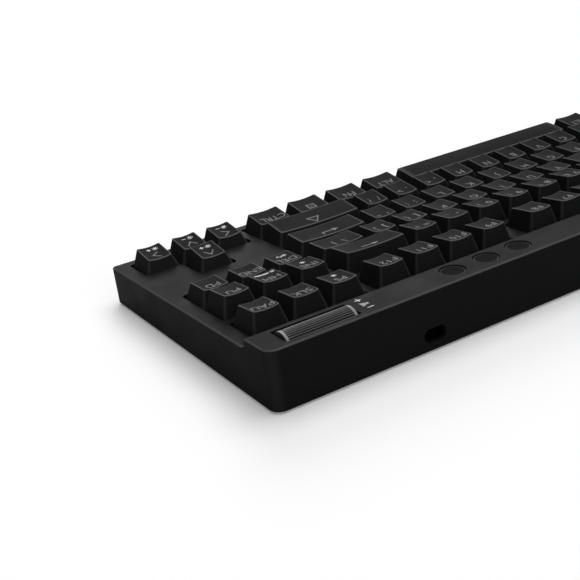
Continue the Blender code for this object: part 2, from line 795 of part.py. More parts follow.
def screw_bosses(parent):
    """Bosses from the deck down to the switch plate, behind the number row."""
    bm = bmesh.new()
    radius = FUNCTION_ROW_GAP / 2 - OPENING_MARGIN
    y = row_front(FUNCTION_ROW) - FUNCTION_ROW_GAP / 2
    for share in BOSS_SHARES:
        x = 2 * CASE_RIGHT * share - CASE_RIGHT
        outline = [(x + p.x, y + p.y) for p in circle(radius, PILLAR_SIDES)]
        add_prism(bm, outline, PLATE_TOP + SEAT_GAP, -DECK_THICKNESS / 2)
    return add_helper("screw_bosses", bm, parent)


def opening(bm, left, first_row, units, rows, low, high):
    """One rectangular hole for a block of keys."""
    corners = rectangle(
        left - OPENING_MARGIN,
        left + units * KEY_PITCH + OPENING_MARGIN,
        row_front(first_row) - OPENING_MARGIN,
        row_front(first_row) + rows * KEY_PITCH + OPENING_MARGIN,
    )
    add_prism(bm, rounded_outline(corners, OPENING_RADIUS, OPENING_STEPS), low, high)


def arrow_opening(bm, low, high):
    """The hole for the arrow keys: a row of three with one key over its middle."""
    left = SIDE_LEFT - OPENING_MARGIN
    right = SIDE_LEFT + SIDE_UNITS * KEY_PITCH + OPENING_MARGIN
    up_left = left + KEY_PITCH
    up_right = right - KEY_PITCH
    front = -OPENING_MARGIN
    shoulder = KEY_PITCH + OPENING_MARGIN
    rear = shoulder + KEY_PITCH
    corners = (
        (right, front),
        (right, shoulder),
        (up_right, shoulder),
        (up_right, rear),
        (up_left, rear),
        (up_left, shoulder),
        (left, shoulder),
        (left, front),
    )
    add_prism(bm, rounded_outline(corners, OPENING_RADIUS, OPENING_STEPS), low, high)


def button_places():
    right = CASE_RIGHT - BUTTON_FROM_SIDE
    return [(right - i * BUTTON_PITCH, BUTTON_Y) for i in range(BUTTON_COUNT)]


def deck_holes(parent):
    """Every hole through the deck and the strip, and the cable inlet in the rear wall."""
    bm = bmesh.new()
    low = -DECK_THICKNESS - OVERRUN
    high = OVERRUN
    opening(bm, KEYS_LEFT, 0, MAIN_UNITS, FUNCTION_ROW, low, high)
    for _, start_units, width_units, count in MAIN_KEY_UNITS[FUNCTION_ROW]:
        left = KEYS_LEFT + start_units * KEY_PITCH
        opening(bm, left, FUNCTION_ROW, width_units * count, 1, low, high)
    opening(bm, SIDE_LEFT, FUNCTION_ROW, SIDE_UNITS, 1, low, high)
    page_row = FUNCTION_ROW - PAGE_KEY_ROW_COUNT
    opening(bm, SIDE_LEFT, page_row, SIDE_UNITS, PAGE_KEY_ROW_COUNT, low, high)
    arrow_opening(bm, low, high)
    for x, y in button_places():
        hole = [(x + p.x, y + p.y) for p in circle(BUTTON_RADIUS + SEAT_GAP, HOLE_SIDES)]
        add_prism(bm, hole, STRIP_UNDERSIDE - OVERRUN, STRIP_RISE + OVERRUN)
    add_inlet(bm)
    return add_helper("deck_holes", bm, parent)


def add_inlet(bm):
    """The oval hole in the rear wall that a cable's plug goes through."""
    left = SOCKET_X - INLET_WIDTH / 2
    right = SOCKET_X + INLET_WIDTH / 2
    bottom = SOCKET_W - INLET_DROP - INLET_HEIGHT / 2
    top = bottom + INLET_HEIGHT
    corners = rectangle(left, right, bottom, top)
    outline = rounded_outline(corners, INLET_RADIUS, CORNER_STEPS)
    rings = []
    for y in (INNER_REAR - OVERRUN, CASE_REAR + OVERRUN):
        rings.append([(x, y, w) for x, w in outline])
    loft(bm, rings)


def wheel_slot(parent):
    """The slot in the strip, which clears the roller at the underside of the strip's top."""
    bm = bmesh.new()
    left = WHEEL_X - WHEEL_SLOT_LENGTH / 2
    right = WHEEL_X + WHEEL_SLOT_LENGTH / 2
    half = WHEEL_CHORD + WHEEL_SIDE_GAP
    low = STRIP_UNDERSIDE - OVERRUN
    high = STRIP_RISE + OVERRUN
    add_box(bm, left, right, WHEEL_Y - half, WHEEL_Y + half, low, high)
    return add_helper("wheel_slot", bm, parent)


def build_top_cover(parent):
    cover = cover_body(parent)
    combine(cover, strip_body(parent), "UNION")
    combine(cover, cavity(parent), "DIFFERENCE")
    combine(cover, strip_cavity(parent), "DIFFERENCE")
    combine(cover, screw_bosses(parent), "UNION")
    combine(cover, deck_holes(parent), "DIFFERENCE")
    combine(cover, wheel_slot(parent), "DIFFERENCE")


# Switch plate and circuit board


def switch_places():
    """The centre of every switch, one under each cap."""
    places = []
    for _, row, left, width_units, count in key_groups():
        for i in range(count):
            places.append((left + (i + 0.5) * width_units * KEY_PITCH, row_centre(row)))
    return places


def post_places():
    """The centre of every guide post of the wide keys."""
    places = []
    for _, row, x, spacing in wide_keys():
        for side in (-1, 1):
            places.append((x + side * spacing / 2, row_centre(row)))
    return places


def build_switch_plate(parent):
    """The steel plate, with a square hole for each switch and one for each post."""
    bm = bmesh.new()
    side = INNER_RIGHT - SEAT_GAP
    outline = rectangle(-side, side, INNER_FRONT + SEAT_GAP, KEYS_DEPTH)
    rounded = rounded_outline(outline, CORNER_RADIUS - SHELL_WALL, OPENING_STEPS)
    add_prism(bm, rounded, PLATE_BOTTOM, PLATE_TOP)
    plate = add_object("switch_plate", bm, plate_material(), parent)
    low = PLATE_BOTTOM - OVERRUN
    high = PLATE_TOP + OVERRUN
    bm = bmesh.new()
    for place in switch_places():
        add_tapered_box(bm, place, (PLATE_HOLE, PLATE_HOLE), (low, high))
    half = POST_WIDTH / 2 + POST_GUIDE_GAP
    for x, y in post_places():
        front = y - WIRE_BAR_OFFSET + WIRE_RADIUS / 2
        add_box(bm, x - half, x + half, front, y + half, low, high)
    combine(plate, add_helper("plate_holes", bm, parent), "DIFFERENCE")


def add_switch_housing(bm, x, y):
    """One switch body on the board, with the square well that its slider runs in."""
    widths = (HOUSING_WIDTH, HOUSING_WIDTH, HOUSING_TOP_WIDTH, WELL_WIDTH, WELL_WIDTH)
    shoulder = PLATE_TOP + HOUSING_SHOULDER
    levels = (BOARD_TOP - BOARD_THICKNESS / 2, shoulder, HOUSING_TOP, HOUSING_TOP, WELL_BOTTOM)
    add_tapered_box(bm, (x, y), widths, levels)


def build_circuit_board(parent):
    """The board with all that is soldered to it: switches, wire saddles, small switches."""
    bm = bmesh.new()
    outline = rectangle(-BOARD_SIDE, BOARD_SIDE, BOARD_FRONT, BOARD_REAR)
    rounded = rounded_outline(outline, CORNER_RADIUS - SHELL_WALL, OPENING_STEPS)
    add_prism(bm, rounded, BOARD_BOTTOM, BOARD_TOP)
    board = add_object("circuit_board", bm, board_material(), parent)
    bm = bmesh.new()
    buried = BOARD_TOP - BOARD_THICKNESS / 2
    for x, y in switch_places():
        add_switch_housing(bm, x, y)
    for _, row, x, spacing in wide_keys():
        y = row_centre(row) - WIRE_BAR_OFFSET
        for post in (x - spacing / 2, x + spacing / 2):
            inward = math.copysign(SADDLE_WIDTH, x - post)
            top = WIRE_W - WIRE_RADIUS - SEAT_GAP
            add_tapered_box(bm, (post + inward, y), (SADDLE_WIDTH, SADDLE_WIDTH), (buried, top))
    for place in button_places():
        add_tapered_box(bm, place, (TACT_WIDTH, TACT_WIDTH), (buried, BOARD_TOP + TACT_HEIGHT))
    combine(board, add_helper("soldered_parts", bm, parent), "UNION")


# Volume wheel


def build_volume_wheel(parent):
    """A roller with smooth ends, ribs along its middle and a bore for its shaft."""
    sides = 2 * WHEEL_RIBS
    turn = 2 * math.pi / sides
    valley = WHEEL_RADIUS - WHEEL_RIB_DEPTH
    middle = WHEEL_HALF - WHEEL_FLANGE

    def ring(x, even_radius, odd_radius):
        points = []
        for i in range(sides):
            radius = odd_radius if i % 2 else even_radius
            points.append((x, radius * math.cos(i * turn), radius * math.sin(i * turn)))
        return points

    rings = [
        ring(-WHEEL_HALF, SHAFT_BORE, SHAFT_BORE),
        ring(-WHEEL_HALF, WHEEL_RADIUS, WHEEL_RADIUS),
        ring(-middle, WHEEL_RADIUS, WHEEL_RADIUS),
        ring(-middle, WHEEL_RADIUS, valley),
        ring(middle, WHEEL_RADIUS, valley),
        ring(middle, WHEEL_RADIUS, WHEEL_RADIUS),
        ring(WHEEL_HALF, WHEEL_RADIUS, WHEEL_RADIUS),
        ring(WHEEL_HALF, SHAFT_BORE, SHAFT_BORE),
    ]
    bm = bmesh.new()
    loops = [[bm.verts.new(point) for point in points] for points in rings]
    for k, loop in enumerate(loops):
        following = loops[(k + 1) % len(loops)]
        for i in range(sides):
            j = (i + 1) % sides
            bm.faces.new((loop[i], loop[j], following[j], following[i]))
    bmesh.ops.remove_doubles(bm, verts=bm.verts, dist=MERGE_DISTANCE)
    bmesh.ops.dissolve_degenerate(bm, edges=bm.edges, dist=MERGE_DISTANCE)
    add_object("volume_wheel", bm, wheel_material(), parent, (WHEEL_X, WHEEL_Y, WHEEL_W))


def build_wheel_shaft(parent):
    """The steel pin through the roller, into both ears and the encoder."""
    bm = bmesh.new()
    left = -(ENCODER_FACE + ENCODER_THICKNESS / 2 - SEAT_GAP)
    add_rod_along_x(bm, left, EAR_OUTER, 0, 0, SHAFT_RADIUS, ROUND_SIDES)
    add_object("wheel_shaft", bm, steel_material(), parent, (WHEEL_X, WHEEL_Y, WHEEL_W))


def build_wheel_bracket(parent):
    """A bracket on the board whose two ears carry the shaft."""
    bm = bmesh.new()
    half = BRACKET_DEPTH / 2
    floor_top = BRACKET_BOTTOM + BRACKET_THICKNESS
    left = WHEEL_X - EAR_OUTER
    right = WHEEL_X + EAR_OUTER
    add_box(bm, left, right, WHEEL_Y - half, WHEEL_Y + half, BRACKET_BOTTOM, EAR_TOP)
    bracket = add_object("wheel_bracket", bm, steel_material(), parent)
    bm = bmesh.new()
    inner = EAR_INNER
    front = WHEEL_Y - half - OVERRUN
    rear = WHEEL_Y + half + OVERRUN
    add_box(bm, WHEEL_X - inner, WHEEL_X + inner, front, rear, floor_top, EAR_TOP + OVERRUN)
    combine(bracket, add_helper("bracket_gap", bm, parent), "DIFFERENCE")
    combine(bracket, shaft_bore("bracket_bores", EAR_OUTER + OVERRUN, parent), "DIFFERENCE")


def shaft_bore(name, reach, parent):
    bm = bmesh.new()
    add_rod_along_x(bm, WHEEL_X - reach, WHEEL_X + reach, WHEEL_Y, WHEEL_W, SHAFT_BORE, ROUND_SIDES)
    return add_helper(name, bm, parent)


def build_wheel_encoder(parent):
    """The rotary encoder beside the left ear, which the shaft's end turns."""
    bm = bmesh.new()
    right = WHEEL_X - ENCODER_FACE
    left = right - ENCODER_THICKNESS
    front = WHEEL_Y - ENCODER_HALF_DEPTH
    rear = WHEEL_Y + ENCODER_HALF_DEPTH
    add_box(bm, left, right, front, rear, BRACKET_BOTTOM, EAR_TOP)
    encoder = add_object("wheel_encoder", bm, tray_material(), parent)
    reach = ENCODER_FACE + ENCODER_THICKNESS / 2
    combine(encoder, shaft_bore("encoder_bore", reach, parent), "DIFFERENCE")


# Round buttons


def build_buttons(parent):
    """Flat round buttons, each held under the strip by a lip, on a long stem."""
    material = wheel_material()
    top = STRIP_RISE - BUTTON_RECESS
    lip_top = STRIP_UNDERSIDE - SEAT_GAP
    lip_bottom = lip_top - BUTTON_LIP_THICKNESS
    stem_bottom = BOARD_TOP + TACT_HEIGHT + BUTTON_TRAVEL + SEAT_GAP
    profile = (
        (BUTTON_RADIUS - EDGE_FILLET / 2, top),
        (BUTTON_RADIUS, top - EDGE_FILLET / 2),
        (BUTTON_RADIUS, lip_top),
        (BUTTON_RADIUS + BUTTON_LIP, lip_top),
        (BUTTON_RADIUS + BUTTON_LIP, lip_bottom),
        (BUTTON_STEM_RADIUS, lip_bottom),
        (BUTTON_STEM_RADIUS, stem_bottom),
    )
    for number, (x, y) in enumerate(button_places(), 1):
        bm = bmesh.new()
        add_turned(bm, profile, BUTTON_SIDES)
        add_object(f"round_button_{number}", bm, material, parent, (x, y, 0))


# Cable socket


def build_usb_socket(parent):
    """The metal socket under the board's rear edge, with its mouth to the rear."""
    bm = bmesh.new()
    mouth = BOARD_REAR
    back = mouth - SOCKET_LENGTH
    bottom = back + SOCKET_BACK
    rings = []
    for inset, y in ((0, back), (0, mouth), (SOCKET_WALL, mouth), (SOCKET_WALL, bottom)):
        half_width = SOCKET_WIDTH / 2 - inset
        half_height = SOCKET_HEIGHT / 2 - inset
        left = SOCKET_X - half_width
        right = SOCKET_X + half_width
        corners = rectangle(left, right, SOCKET_W - half_height, SOCKET_W + half_height)
        radius = half_height - SOCKET_WALL
        rings.append([(x, y, w) for x, w in rounded_outline(corners, radius, OPENING_STEPS)])
    loft(bm, rings)
    add_object("usb_socket", bm, steel_material(), parent)


# Tray and feet, level on the table


def tray_outline():
    """The tray's place inside the case's walls."""
    right = INNER_RIGHT - SEAT_GAP
    front = world_y(INNER_FRONT, base_w(INNER_FRONT)) + SEAT_GAP
    rear = world_y(INNER_REAR, base_w(INNER_REAR)) - SEAT_GAP
    return rectangle(-right, right, front, rear)


def pad_places():
    """The four rubber pads as name, x and y."""
    front = world_y(CASE_FRONT, base_w(CASE_FRONT)) + PAD_FRONT_INSET
    rear = world_y(CASE_REAR, base_w(CASE_REAR)) - PAD_REAR_INSET
    ends = (("front", front, PAD_FRONT_SIDE_INSET), ("rear", rear, PAD_REAR_SIDE_INSET))
    for end, y, inset in ends:
        for side, sign in (("left", -1), ("right", 1)):
            yield f"rubber_foot_{end}_{side}", sign * (CASE_RIGHT - inset), y


def pad_outline(x, y, growth):
    half_length = PAD_LENGTH / 2 + growth
    half_width = PAD_WIDTH / 2 + growth
    corners = rectangle(x - half_length, x + half_length, y - half_width, y + half_width)
    return rounded_outline(corners, half_width - PAD_END_FLAT / 2, CORNER_STEPS)


def tilt_places():
    """The two tilt feet's hinges as name, x, y and z."""
    y = world_y(CASE_REAR, base_w(CASE_REAR)) - TILT_FOOT_REAR_INSET
    z = PAD_STAND + TILT_FOOT_RECESS + TILT_FOOT_THICKNESS / 2
    for side, sign in (("left", -1), ("right", 1)):
        yield f"tilt_foot_{side}", sign * (CASE_RIGHT - TILT_FOOT_SIDE_INSET), y, z


def tray_additions():
    """Pillars up to the circuit board, and a thick block around each tilt foot."""
    bm = bmesh.new()
    buried = PAD_STAND + TRAY_THICKNESS / 2
    for along in PILLAR_ALONG_SHARES:
        x = 2 * BOARD_SIDE * along - BOARD_SIDE
        for across in PILLAR_ACROSS_SHARES:
            y = BOARD_FRONT + (BOARD_REAR - BOARD_FRONT) * across
            top = world_z(y - PILLAR_RADIUS, BOARD_BOTTOM) - SEAT_GAP
            centre = world_y(y, BOARD_BOTTOM)
            outline = [(x + p.x, centre + p.y) for p in circle(PILLAR_RADIUS, PILLAR_SIDES)]
            add_prism(bm, outline, buried, top)
    half = TILT_FOOT_WIDTH / 2 + RUNNING_GAP + TILT_PIN_LENGTH + SEAT_GAP + TILT_POCKET_WALL
    for _, x, y, z in tilt_places():
        front = y - TILT_FOOT_LENGTH - RUNNING_GAP - TILT_SCOOP_LENGTH - TILT_POCKET_WALL
        rear = y + TILT_FOOT_THICKNESS / 2 + 2 * RUNNING_GAP + TILT_POCKET_WALL
        top = z + TILT_FOOT_THICKNESS / 2 + RUNNING_GAP + TILT_POCKET_WALL
        add_box(bm, x - half, x + half, front, rear, buried, top)
    return add_helper("tray_additions", bm)


def tray_pockets():
    """The pockets that the tilt feet fold into, and the pads' recesses."""
    bm = bmesh.new()
    low = PAD_STAND - OVERRUN
    half = TILT_FOOT_WIDTH / 2 + RUNNING_GAP
    for _, x, y, z in tilt_places():
        front = y - TILT_FOOT_LENGTH - RUNNING_GAP
        rear = y + TILT_FOOT_THICKNESS / 2 + 2 * RUNNING_GAP
        top = z + TILT_FOOT_THICKNESS / 2 + RUNNING_GAP
        add_box(bm, x - half, x + half, front, rear, low, top)
    for _, x, y in pad_places():
        add_prism(bm, pad_outline(x, y, SEAT_GAP), low, PAD_STAND + PAD_RECESS)
    return add_helper("tray_pockets", bm)


def tray_scoops():
    """A finger scoop in front of each tilt foot, and the sockets for its pins."""
    bm = bmesh.new()
    half = TILT_SCOOP_WIDTH / 2
    low = PAD_STAND - OVERRUN
    top = PAD_STAND + TILT_SCOOP_DEPTH
    for _, x, y, _ in tilt_places():
        rear = y - TILT_FOOT_LENGTH - RUNNING_GAP
        front = rear - TILT_SCOOP_LENGTH
        add_box(bm, x - half, x + half, front, rear + OVERRUN, low, top)
    reach = TILT_FOOT_WIDTH / 2 + RUNNING_GAP + TILT_PIN_LENGTH
    for _, x, y, z in tilt_places():
        add_rod_along_x(bm, x - reach, x + reach, y, z, TILT_PIN_RADIUS + SEAT_GAP, ROUND_SIDES)
    return add_helper("tray_scoops", bm)


def build_bottom_tray():
    bm = bmesh.new()
    outline = rounded_outline(tray_outline(), CORNER_RADIUS - SHELL_WALL, CORNER_STEPS)
    add_prism(bm, outline, PAD_STAND, PAD_STAND + TRAY_THICKNESS)
    tray = add_object("bottom_tray", bm, tray_material())
    combine(tray, tray_additions(), "UNION")
    combine(tray, tray_pockets(), "DIFFERENCE")
    combine(tray, tray_scoops(), "DIFFERENCE")


def build_rubber_feet():
    material = rubber_material()
    for name, x, y in pad_places():
        bm = bmesh.new()
        add_prism(bm, pad_outline(0, 0, 0), 0, PAD_STAND + PAD_RECESS - SEAT_GAP)
        add_object(name, bm, material, None, (x, y, 0))


def build_tilt_feet():
    """Two legs that lie folded in the tray, each with a pin at both ends of its heel."""
    material = tray_material()
    half_width = TILT_FOOT_WIDTH / 2
    half = TILT_FOOT_THICKNESS / 2
    for name, x, y, z in tilt_places():
        bm = bmesh.new()
        section = [(-TILT_FOOT_LENGTH, -half)]
        for step in range(2 * CORNER_STEPS + 1):
            angle = math.pi * (step / (2 * CORNER_STEPS) - 0.5)
            section.append((half * math.cos(angle), half * math.sin(angle)))
        section.append((-TILT_FOOT_LENGTH, half))
        loft(bm, [[(px, py, pz) for py, pz in section] for px in (-half_width, half_width)])
        foot = add_object(name, bm, material, None, (x, y, z))
        bm = bmesh.new()
        reach = half_width + RUNNING_GAP + TILT_PIN_LENGTH - SEAT_GAP
        add_rod_along_x(bm, -reach, reach, 0, 0, TILT_PIN_RADIUS, ROUND_SIDES)
        combine(foot, add_helper(name + "_pins", bm, None, (x, y, z)), "UNION")


def build_deck_frame():
    """The empty that tilts everything that follows the deck."""
    frame = bpy.data.objects.new("deck_frame", None)
    frame.location = (0, FRAME_Y, FRAME_Z)
    frame.rotation_euler = (DECK_TILT, 0, 0)
    bpy.context.scene.collection.objects.link(frame)
    return frame


def main():
    clear_scene()
    frame = build_deck_frame()
    build_top_cover(frame)
    build_switch_plate(frame)
    build_circuit_board(frame)
    build_keys(frame)
    build_wires(frame)
    build_volume_wheel(frame)
    build_wheel_shaft(frame)
    build_wheel_bracket(frame)
    build_wheel_encoder(frame)
    build_buttons(frame)
    build_usb_socket(frame)
    build_bottom_tray()
    build_rubber_feet()
    build_tilt_feet()


main()
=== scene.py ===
import math

import bmesh
import bpy
import numpy as np
from bpy.props import FloatProperty, FloatVectorProperty, IntProperty, PointerProperty
from bpy.types import Operator, Panel, PropertyGroup
from mathutils import Matrix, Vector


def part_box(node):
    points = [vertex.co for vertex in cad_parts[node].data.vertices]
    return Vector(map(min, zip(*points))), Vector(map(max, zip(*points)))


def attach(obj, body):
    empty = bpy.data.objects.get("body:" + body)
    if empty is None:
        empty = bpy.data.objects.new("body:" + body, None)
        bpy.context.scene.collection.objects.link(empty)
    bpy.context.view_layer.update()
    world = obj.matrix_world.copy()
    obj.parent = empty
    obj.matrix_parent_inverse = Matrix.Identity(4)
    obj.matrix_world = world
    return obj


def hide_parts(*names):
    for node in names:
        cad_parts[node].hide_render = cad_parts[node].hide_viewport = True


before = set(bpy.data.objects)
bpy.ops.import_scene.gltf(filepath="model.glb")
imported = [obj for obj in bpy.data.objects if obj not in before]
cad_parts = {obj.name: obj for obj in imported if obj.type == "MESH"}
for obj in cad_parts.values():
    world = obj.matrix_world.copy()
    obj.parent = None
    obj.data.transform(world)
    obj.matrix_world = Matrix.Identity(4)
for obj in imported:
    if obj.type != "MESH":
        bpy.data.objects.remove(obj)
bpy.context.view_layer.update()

bl_info = {
    "name": "Compact mechanical keyboard",
    "version": (1, 0, 0),
    "blender": (4, 5, 0),
    "location": "3D View > Sidebar > Keyboard",
    "description": "Builds the visible keyboard around its packed solids",
    "category": "Object",
}

MM = 0.001

# Rows of caps from the front: node, left edge and cap width in key units, and each cap's legend,
# which is a word, two signs, blank, or a drawn sign as the word mark, a colon and its name
MAIN_ROWS = (
    (
        ("key_control_left", 0, 1.25, "CTRL"),
        ("key_system", 1.25, 1.25, "mark:ring"),
        ("key_alt_left", 2.5, 1.25, "ALT"),
        ("key_space", 3.75, 6.25, "blank"),
        ("key_alt_right", 10, 1.25, "ALT"),
        ("key_function", 11.25, 1.25, "FN"),
        ("key_menu", 12.5, 1.25, "mark:menu"),
        ("key_control_right", 13.75, 1.25, "CTRL"),
    ),
    (
        ("key_shift_left", 0, 2.25, "mark:shift"),
        ("keys_z_to_slash", 2.25, 1, "Z X C V B N M ,< .> /?"),
        ("key_shift_right", 12.25, 2.75, "mark:shift"),
    ),
    (
        ("key_caps_lock", 0, 1.75, "CAPS"),
        ("keys_a_to_quote", 1.75, 1, "A S D F G H J K L ;: '\""),
        ("key_enter", 12.75, 2.25, "mark:enter"),
    ),
    (
        ("key_tab", 0, 1.5, "TAB"),
        ("keys_q_to_bracket", 1.5, 1, "Q W E R T Y U I O P [{ ]}"),
        ("key_backslash", 13.5, 1.5, "\\|"),
    ),
    (
        ("keys_number_row", 0, 1, "`~ 1! 2@ 3# 4$ 5% 6^ 7& 8* 9( 0) -_ =+"),
        ("key_backspace", 13, 2, "mark:back"),
    ),
    (
        ("key_escape", 0, 1, "ESC"),
        ("keys_f1_to_f4", 2, 1, "F1 F2 F3 F4"),
        ("keys_f5_to_f8", 6.5, 1, "F5 F6 F7 F8"),
        ("keys_f9_to_f12", 11, 1, "F9 F10 F11 F12"),
    ),
)
SIDE_ROWS = (
    (
        ("key_left", 0, 1, "mark:left"),
        ("key_down", 1, 1, "mark:down"),
        ("key_right", 2, 1, "mark:right"),
    ),
    (("key_up", 1, 1, "mark:up"),),
    (),
    (("key_delete", 0, 1, "DEL"), ("key_end", 1, 1, "END"), ("key_page_down", 2, 1, "PD")),
    (("key_insert", 0, 1, "INS"), ("key_home", 1, 1, "HM"), ("key_page_up", 2, 1, "PU")),
    (("key_print_screen", 0, 1, "PS"), ("key_scroll_lock", 1, 1, "SLK"), ("key_pause", 2, 1, "PAU")),
)
FUNCTION_ROW = 5
PAGE_ROW = 3
MAIN_UNITS = 15
SIDE_UNITS = 3
SPACE_UNITS = 6.0
# Heights of the front and rear top edges of the caps by row, as shares of the cap height
ROW_HEIGHT_SHARES = ((0.91, 0.67), (0.91, 0.67), (0.73, 0.63), (0.74, 0.74), (0.91, 0.99), (0.91, 0.99))
# Drawn signs on the caps: height, place to the right of the cap's middle and distance from its
# rear rim, in mm, in grey by sign and in white, for the second functions, by node
GREY_MARKS = {
    "left": (4.0, 0.0, 4.0),
    "right": (4.0, 0.0, 4.0),
    "up": (4.0, 0.0, 4.0),
    "down": (4.0, 0.0, 4.0),
    "ring": (4.5, 0.0, 3.6),
    "menu": (4.5, 0.0, 3.6),
    "shift": (5.0, 0.8, 3.6),
    "enter": (4.0, -0.5, 3.2),
    "back": (3.0, 1.2, 3.0),
}
WHITE_MARKS = {
    "key_left": (("sun", 3.0, -2.0, 9.7), ("minus", 2.2, 1.4, 9.7)),
    "key_right": (("sun", 3.0, -2.0, 9.7), ("plus", 2.2, 1.4, 9.7)),
    "key_up": (("lamp", 3.0, -2.0, 9.7), ("plus", 2.2, 1.4, 9.7)),
    "key_down": (("lamp", 3.0, -2.0, 9.7), ("minus", 2.2, 1.4, 9.7)),
    "key_insert": (("sun", 2.8, 0.0, 9.2),),
    "key_delete": (("lamp", 2.6, -2.0, 9.6), ("wave", 2.4, 0.8, 9.6)),
    "key_home": (("lamp", 2.4, -4.2, 10.4), ("bar", 1.1, 1.0, 10.6)),
    "key_print_screen": (("sun", 2.6, -0.4, 9.5),),
}
# How far the words of some nodes stand off the middle, in mm
WORD_SHIFTS = {
    "key_control_left": -0.75,
    "key_control_right": -0.75,
    "keys_f1_to_f4": -0.9,
    "keys_f5_to_f8": -0.9,
    "keys_f9_to_f12": -0.9,
}
# Height of the built-in font's capitals as a share of its size
CAPITAL_SHARE = 0.73
# Width of the strips that a print is cut into, so that it follows the hollow of a cap
PRINT_STRIP = 1.0 * MM
# The signs on the strip: ink, height and distance from the rear, in mm, and their common distance
# from the right side
STRIP_SIGNS = {
    "loudspeaker": ("grey", 3.6, 9.1),
    "plus": ("white", 3.0, 14.1),
    "minus": ("white", 3.0, 5.1),
}
SIGNS_FROM_SIDE = 51.1 * MM
SIGN_LIFT = 0.02 * MM
SIGN_THICKNESS = 0.05 * MM

# How strong the painted highlight is on the upright corners, a cap's rim, the case's top edge, the roller
# and a button's rim
CAP_CORNER_HIGHLIGHT = 0.18
CASE_CORNER_HIGHLIGHT = 0.12
CAP_RIM_HIGHLIGHT = 0.75
CASE_EDGE_HIGHLIGHT = 1.2
ROLLER_CREST_HIGHLIGHT = 1.0
BUTTON_RIM_HIGHLIGHT = 0.9
# Where the painted highlight on the case's edge starts, and where it is strongest, across its rounding
HIGHLIGHT_START = 0.025
HIGHLIGHT_PEAK = 0.2
# How the roughness changes where a highlight is painted in full
HIGHLIGHT_SMOOTHING = -0.15
# A noise that is alike along every axis
EVEN = (1, 1, 1)
# Below this a place counts as on a surface
TOUCH = 0.01 * MM
# How far a cut reaches past what it cuts
OVERRUN = 2 * MM
# Keeps the straight part of an oval from vanishing
OVAL_FLAT = 0.001 * MM

# Keycap: inside corners, slider corners, lip, and the shares of the wall, the rim and the top
# at which a ring lies
CAP_INNER_RADIUS = 0.6 * MM
STEM_RADIUS = 0.4 * MM
LIP_HEIGHT = 0.3 * MM
LIP_BEVEL = 0.2 * MM
WALL_SHARES = (0.02, 0.3, 0.65, 0.92, 1.0)
RIM_SHARES = (0.2, 0.4, 0.6, 0.8, 1.0)
TOP_SHARES = (0.94, 0.82, 0.64, 0.44, 0.22)

# Cover: corners of the hollow under the strip, the w at which the block that cuts it starts,
# and the angle from which an edge stays sharp
STRIP_HOLLOW_RADIUS = 0.5 * MM
STRIP_HOLLOW_LOW = -10 * MM
COVER_SHARP = 32.0
# How many fillets the last places across a section lie inside the rear corners
INMOST_FILLETS = 1.2

# Roller: points round one rib, and depth of the ribs' crests below the flanges, as a share of
# the flanges' rounding
POINTS_PER_RIB = 10
CREST_SINK_SHARE = 0.3

# Round button: level middle and slope of the dish as shares of the radius, rounded rim, gap
# under the strip, lip, stem and the w of its end
BUTTON_COUNT = 3
DISH_FLAT_SHARE = 0.35
DISH_SLOPE_SHARE = 0.5
DISH_SHARES = (0.5, 0.65, 0.78, 0.85)
BUTTON_RIM = 0.35 * MM
BUTTON_SEAT = 0.3 * MM
BUTTON_LIP = 0.6 * MM
BUTTON_LIP_THICKNESS = 1.2 * MM
BUTTON_STEM = 2 * MM
BUTTON_STEM_END = -8.1 * MM
BUTTON_SIDES = 72
# Where the rounded rim takes over from the dish, as a share of a quarter turn
BUTTON_RIM_START = 0.15

# Underside: rounding of the pads, and the screws' head, recess, dome, depth and places, as
# shares of the tray's length and of its width
PAD_RIM = 0.5 * MM
SCREW_RADIUS = 2.6 * MM
SCREW_ARM = 0.32 * MM
SCREW_REACH = 1.5 * MM
SCREW_DOME = 0.35 * MM
SCREW_RECESS = 0.15 * MM
SCREW_DEPTH = 0.6 * MM
SCREW_SIDES = 48
SCREW_SHARES = ((0.035, (0.2, 0.8)), (0.34, (0.08, 0.92)), (0.66, (0.08, 0.92)), (0.965, (0.2, 0.8)))

# How far inside the rear wall the socket's mouth lies, and its tongue: half width, half
# height, corners, and each section's bevel and depth behind the mouth
SOCKET_FROM_REAR = 4.7 * MM
TONGUE_HALF_WIDTH = 3.3 * MM
TONGUE_HALF_HEIGHT = 0.36 * MM
TONGUE_RADIUS = 0.2 * MM
TONGUE_SECTIONS = ((0.0, 6.0 * MM), (0.0, 0.9 * MM), (0.12 * MM, 0.75 * MM))
# The circuit board's top above the foot of the front wall, measured square to the deck
BOARD_LEVEL = 6.4 * MM

# Lamps: spread in degrees and the direction in which each shines
LAMPS = {
    "top": (60, (0.3, 0.1, -1.0)),
    "back": (30, (0.45, 0.8, -0.53)),
    "fill": (50, (0.0, -1.0, -0.5)),
}
# How far the floor reaches each way, in metres
FLOOR_REACH = 4
WHITE = (1.0, 1.0, 1.0)
# The camera's place and directions
EYE = np.array((342.39, 385.82, 200.37)) * MM
CAMERA_RIGHT = np.array((-0.84157, 0.52753, -0.11608))
CAMERA_DOWN = np.array((0.29997, 0.27772, -0.91263))
CAMERA_AHEAD = np.array((-0.44920, -0.80286, -0.39197))


def linear(code):
    """An sRGB hex colour as linear red, green and blue."""
    values = np.array([int(code[i : i + 2], 16) for i in (1, 3, 5)]) / 255
    low = values / 12.92
    high = ((values + 0.055) / 1.055) ** 2.4
    return tuple(float(v) for v in np.where(values <= 0.04045, low, high))


def properties(kind, rows, convert=float, **settings):
    """Properties by key, each named after its key, from rows of a default and a description."""
    return {
        key: kind(
            name=key.replace("_", " ").capitalize(), description=text, default=convert(value), **settings
        )
        for key, (value, text) in rows.items()
    }


def lengths(**rows):
    """Lengths, with their defaults in mm."""
    return properties(FloatProperty, rows, lambda value: value * MM, min=0.0, unit="LENGTH")


def angles(**rows):
    """Angles, with their defaults in degrees."""
    return properties(FloatProperty, rows, math.radians, subtype="ANGLE")


def amounts(**rows):
    return properties(FloatProperty, rows, min=0.0)


